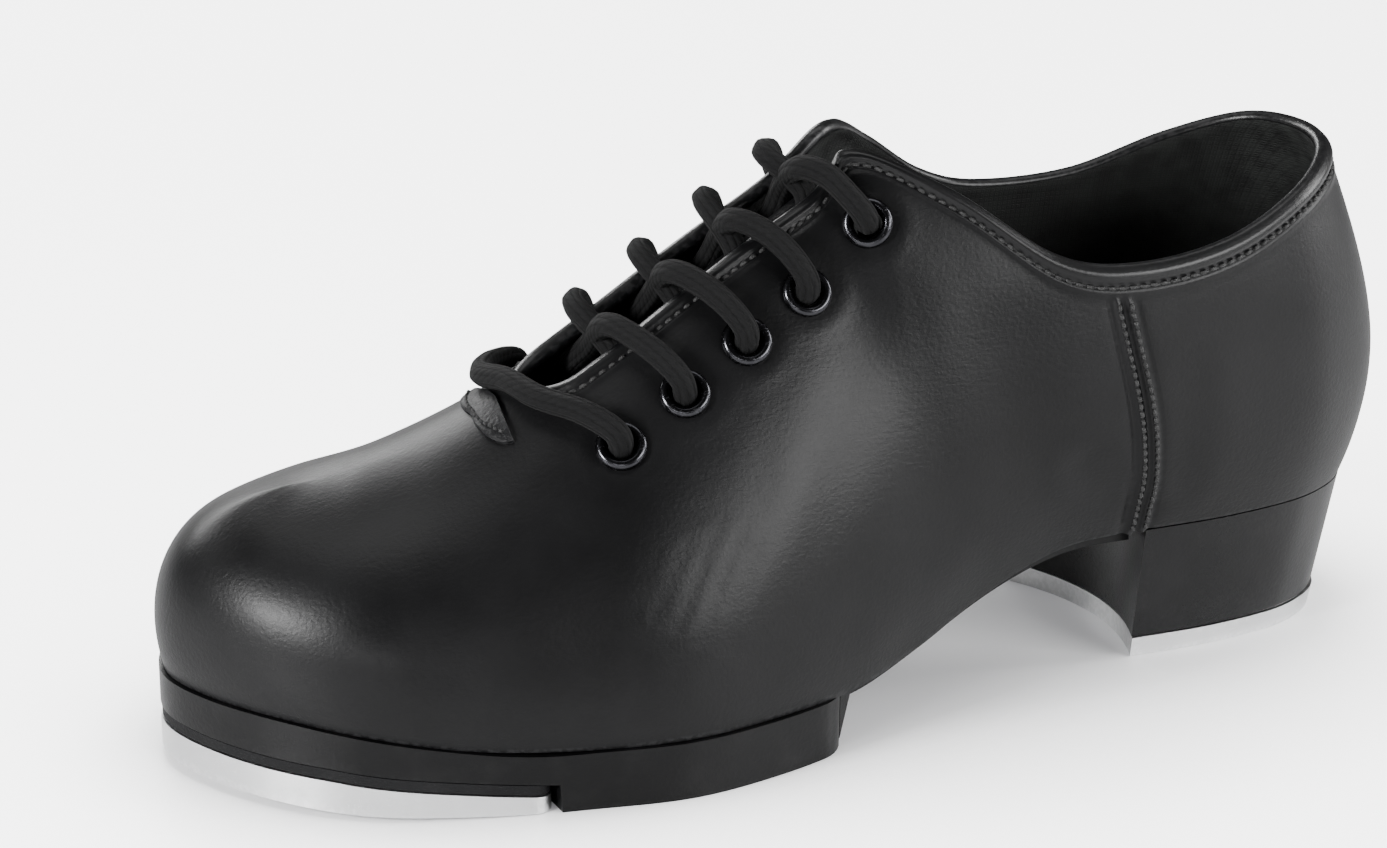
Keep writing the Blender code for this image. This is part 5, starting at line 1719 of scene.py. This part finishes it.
class TapShoeSettings(bpy.types.PropertyGroup):
    """Sizes and colours that a user may change."""

    leather_colour: FloatVectorProperty(
        name="Leather", description="Colour of the leather", subtype="COLOR", size=3, min=0, max=1,
        default=(0.0022, 0.0022, 0.0025),
    )
    leather_roughness: FloatProperty(
        name="Leather roughness", description="How matt the leather is", default=0.40, min=0.05, max=1,
        subtype="FACTOR",
    )
    lace_colour: FloatVectorProperty(
        name="Lace", description="Colour of the lace", subtype="COLOR", size=3, min=0, max=1,
        default=(0.0035, 0.0035, 0.0038),
    )
    tap_colour: FloatVectorProperty(
        name="Taps", description="Colour of the taps' metal", subtype="COLOR", size=3, min=0, max=1,
        default=(0.88, 0.885, 0.89),
    )
    stitch_length: FloatProperty(
        name="Stitch length", description="Length of one stitch", default=0.0019, min=0.001, max=0.006,
        unit="LENGTH",
    )
    thread_diameter: FloatProperty(
        name="Thread", description="Thickness of the thread", default=0.0008, min=0.0003, max=0.0015,
        unit="LENGTH",
    )
    floor_colour: FloatVectorProperty(
        name="Floor", description="Colour of the floor", subtype="COLOR", size=3, min=0, max=1,
        default=(0.90, 0.90, 0.905),
    )
    air_light: FloatProperty(
        name="Air light", description="Strength of the light from all round", default=0.07, min=0, max=3,
    )


FINISHES = {}


def finishes():
    """The shoe's finishes, built when they are first asked for."""
    if not FINISHES:
        FINISHES.update(build_finishes(bpy.context.scene.tap_shoe))
    return FINISHES


class TAPSHOE_OT_upper(bpy.types.Operator):
    """Build the leather upper with its lining"""

    bl_idname = "tapshoe.upper"
    bl_label = "Upper"

    def execute(self, context):
        build_upper(finishes())
        return {"FINISHED"}


class TAPSHOE_OT_stitches(bpy.types.Operator):
    """Build the stitch rows of the upper"""

    bl_idname = "tapshoe.stitches"
    bl_label = "Stitches"

    def execute(self, context):
        build_stitches(finishes(), context.scene.tap_shoe)
        return {"FINISHED"}


class TAPSHOE_OT_stay(bpy.types.Operator):
    """Build the half-moon stay ahead of the throat"""

    bl_idname = "tapshoe.stay"
    bl_label = "Throat stay"

    def execute(self, context):
        build_stay(finishes(), context.scene.tap_shoe)
        return {"FINISHED"}


class TAPSHOE_OT_tongue(bpy.types.Operator):
    """Build the tongue"""

    bl_idname = "tapshoe.tongue"
    bl_label = "Tongue"

    def execute(self, context):
        build_tongue(finishes())
        return {"FINISHED"}


class TAPSHOE_OT_eyelets(bpy.types.Operator):
    """Build the ten eyelets"""

    bl_idname = "tapshoe.eyelets"
    bl_label = "Eyelets"

    def execute(self, context):
        build_eyelets(finishes())
        return {"FINISHED"}


class TAPSHOE_OT_lace(bpy.types.Operator):
    """Run the lace through the eyelets"""

    bl_idname = "tapshoe.lace"
    bl_label = "Lace"

    def execute(self, context):
        build_lace(finishes())
        return {"FINISHED"}


class TAPSHOE_OT_sole(bpy.types.Operator):
    """Build the outsole and finish the insole"""

    bl_idname = "tapshoe.sole"
    bl_label = "Soles"

    def execute(self, context):
        build_outsole(finishes())
        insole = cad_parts["insole"]
        insole.data.materials.clear()
        insole.data.materials.append(finishes()["insole"])
        return {"FINISHED"}


class TAPSHOE_OT_toe_tap(bpy.types.Operator):
    """Build the toe tap and its pad"""

    bl_idname = "tapshoe.toe_tap"
    bl_label = "Toe tap"

    def execute(self, context):
        build_toe_tap(finishes())
        return {"FINISHED"}


class TAPSHOE_OT_heel(bpy.types.Operator):
    """Build the heel block and the heel tap"""

    bl_idname = "tapshoe.heel"
    bl_label = "Heel"

    def execute(self, context):
        build_heel(finishes())
        return {"FINISHED"}


class TAPSHOE_OT_stage(bpy.types.Operator):
    """Build the floor, the lights and the camera"""

    bl_idname = "tapshoe.stage"
    bl_label = "Stage"

    def execute(self, context):
        build_stage(context.scene.tap_shoe)
        return {"FINISHED"}


OPERATORS = (
    TAPSHOE_OT_stage,
    TAPSHOE_OT_upper,
    TAPSHOE_OT_stitches,
    TAPSHOE_OT_stay,
    TAPSHOE_OT_tongue,
    TAPSHOE_OT_eyelets,
    TAPSHOE_OT_lace,
    TAPSHOE_OT_sole,
    TAPSHOE_OT_toe_tap,
    TAPSHOE_OT_heel,
)


class TAPSHOE_PT_pieces(bpy.types.Panel):
    """Sidebar panel with the shoe's sizes, colours and pieces"""

    bl_idname = "TAPSHOE_PT_pieces"
    bl_label = "Tap shoe"
    bl_space_type = "VIEW_3D"
    bl_region_type = "UI"
    bl_category = "Tap Shoe"

    def draw(self, context):
        for name in TapShoeSettings.__annotations__:
            self.layout.prop(context.scene.tap_shoe, name)
        for kind in OPERATORS:
            self.layout.operator(kind.bl_idname)


CLASSES = (TapShoeSettings, *OPERATORS, TAPSHOE_PT_pieces)


def register():
    """Register the add-on's classes and its settings."""
    for kind in CLASSES:
        bpy.utils.register_class(kind)
    bpy.types.Scene.tap_shoe = PointerProperty(type=TapShoeSettings)


def unregister():
    """Take the add-on's classes and its settings away."""
    del bpy.types.Scene.tap_shoe
    for kind in reversed(CLASSES):
        bpy.utils.unregister_class(kind)


def main():
    """Build every piece in order."""
    register()
    for kind in OPERATORS:
        group, name = kind.bl_idname.split(".")
        getattr(getattr(bpy.ops, group), name)()


if __name__ == "__main__":
    main()
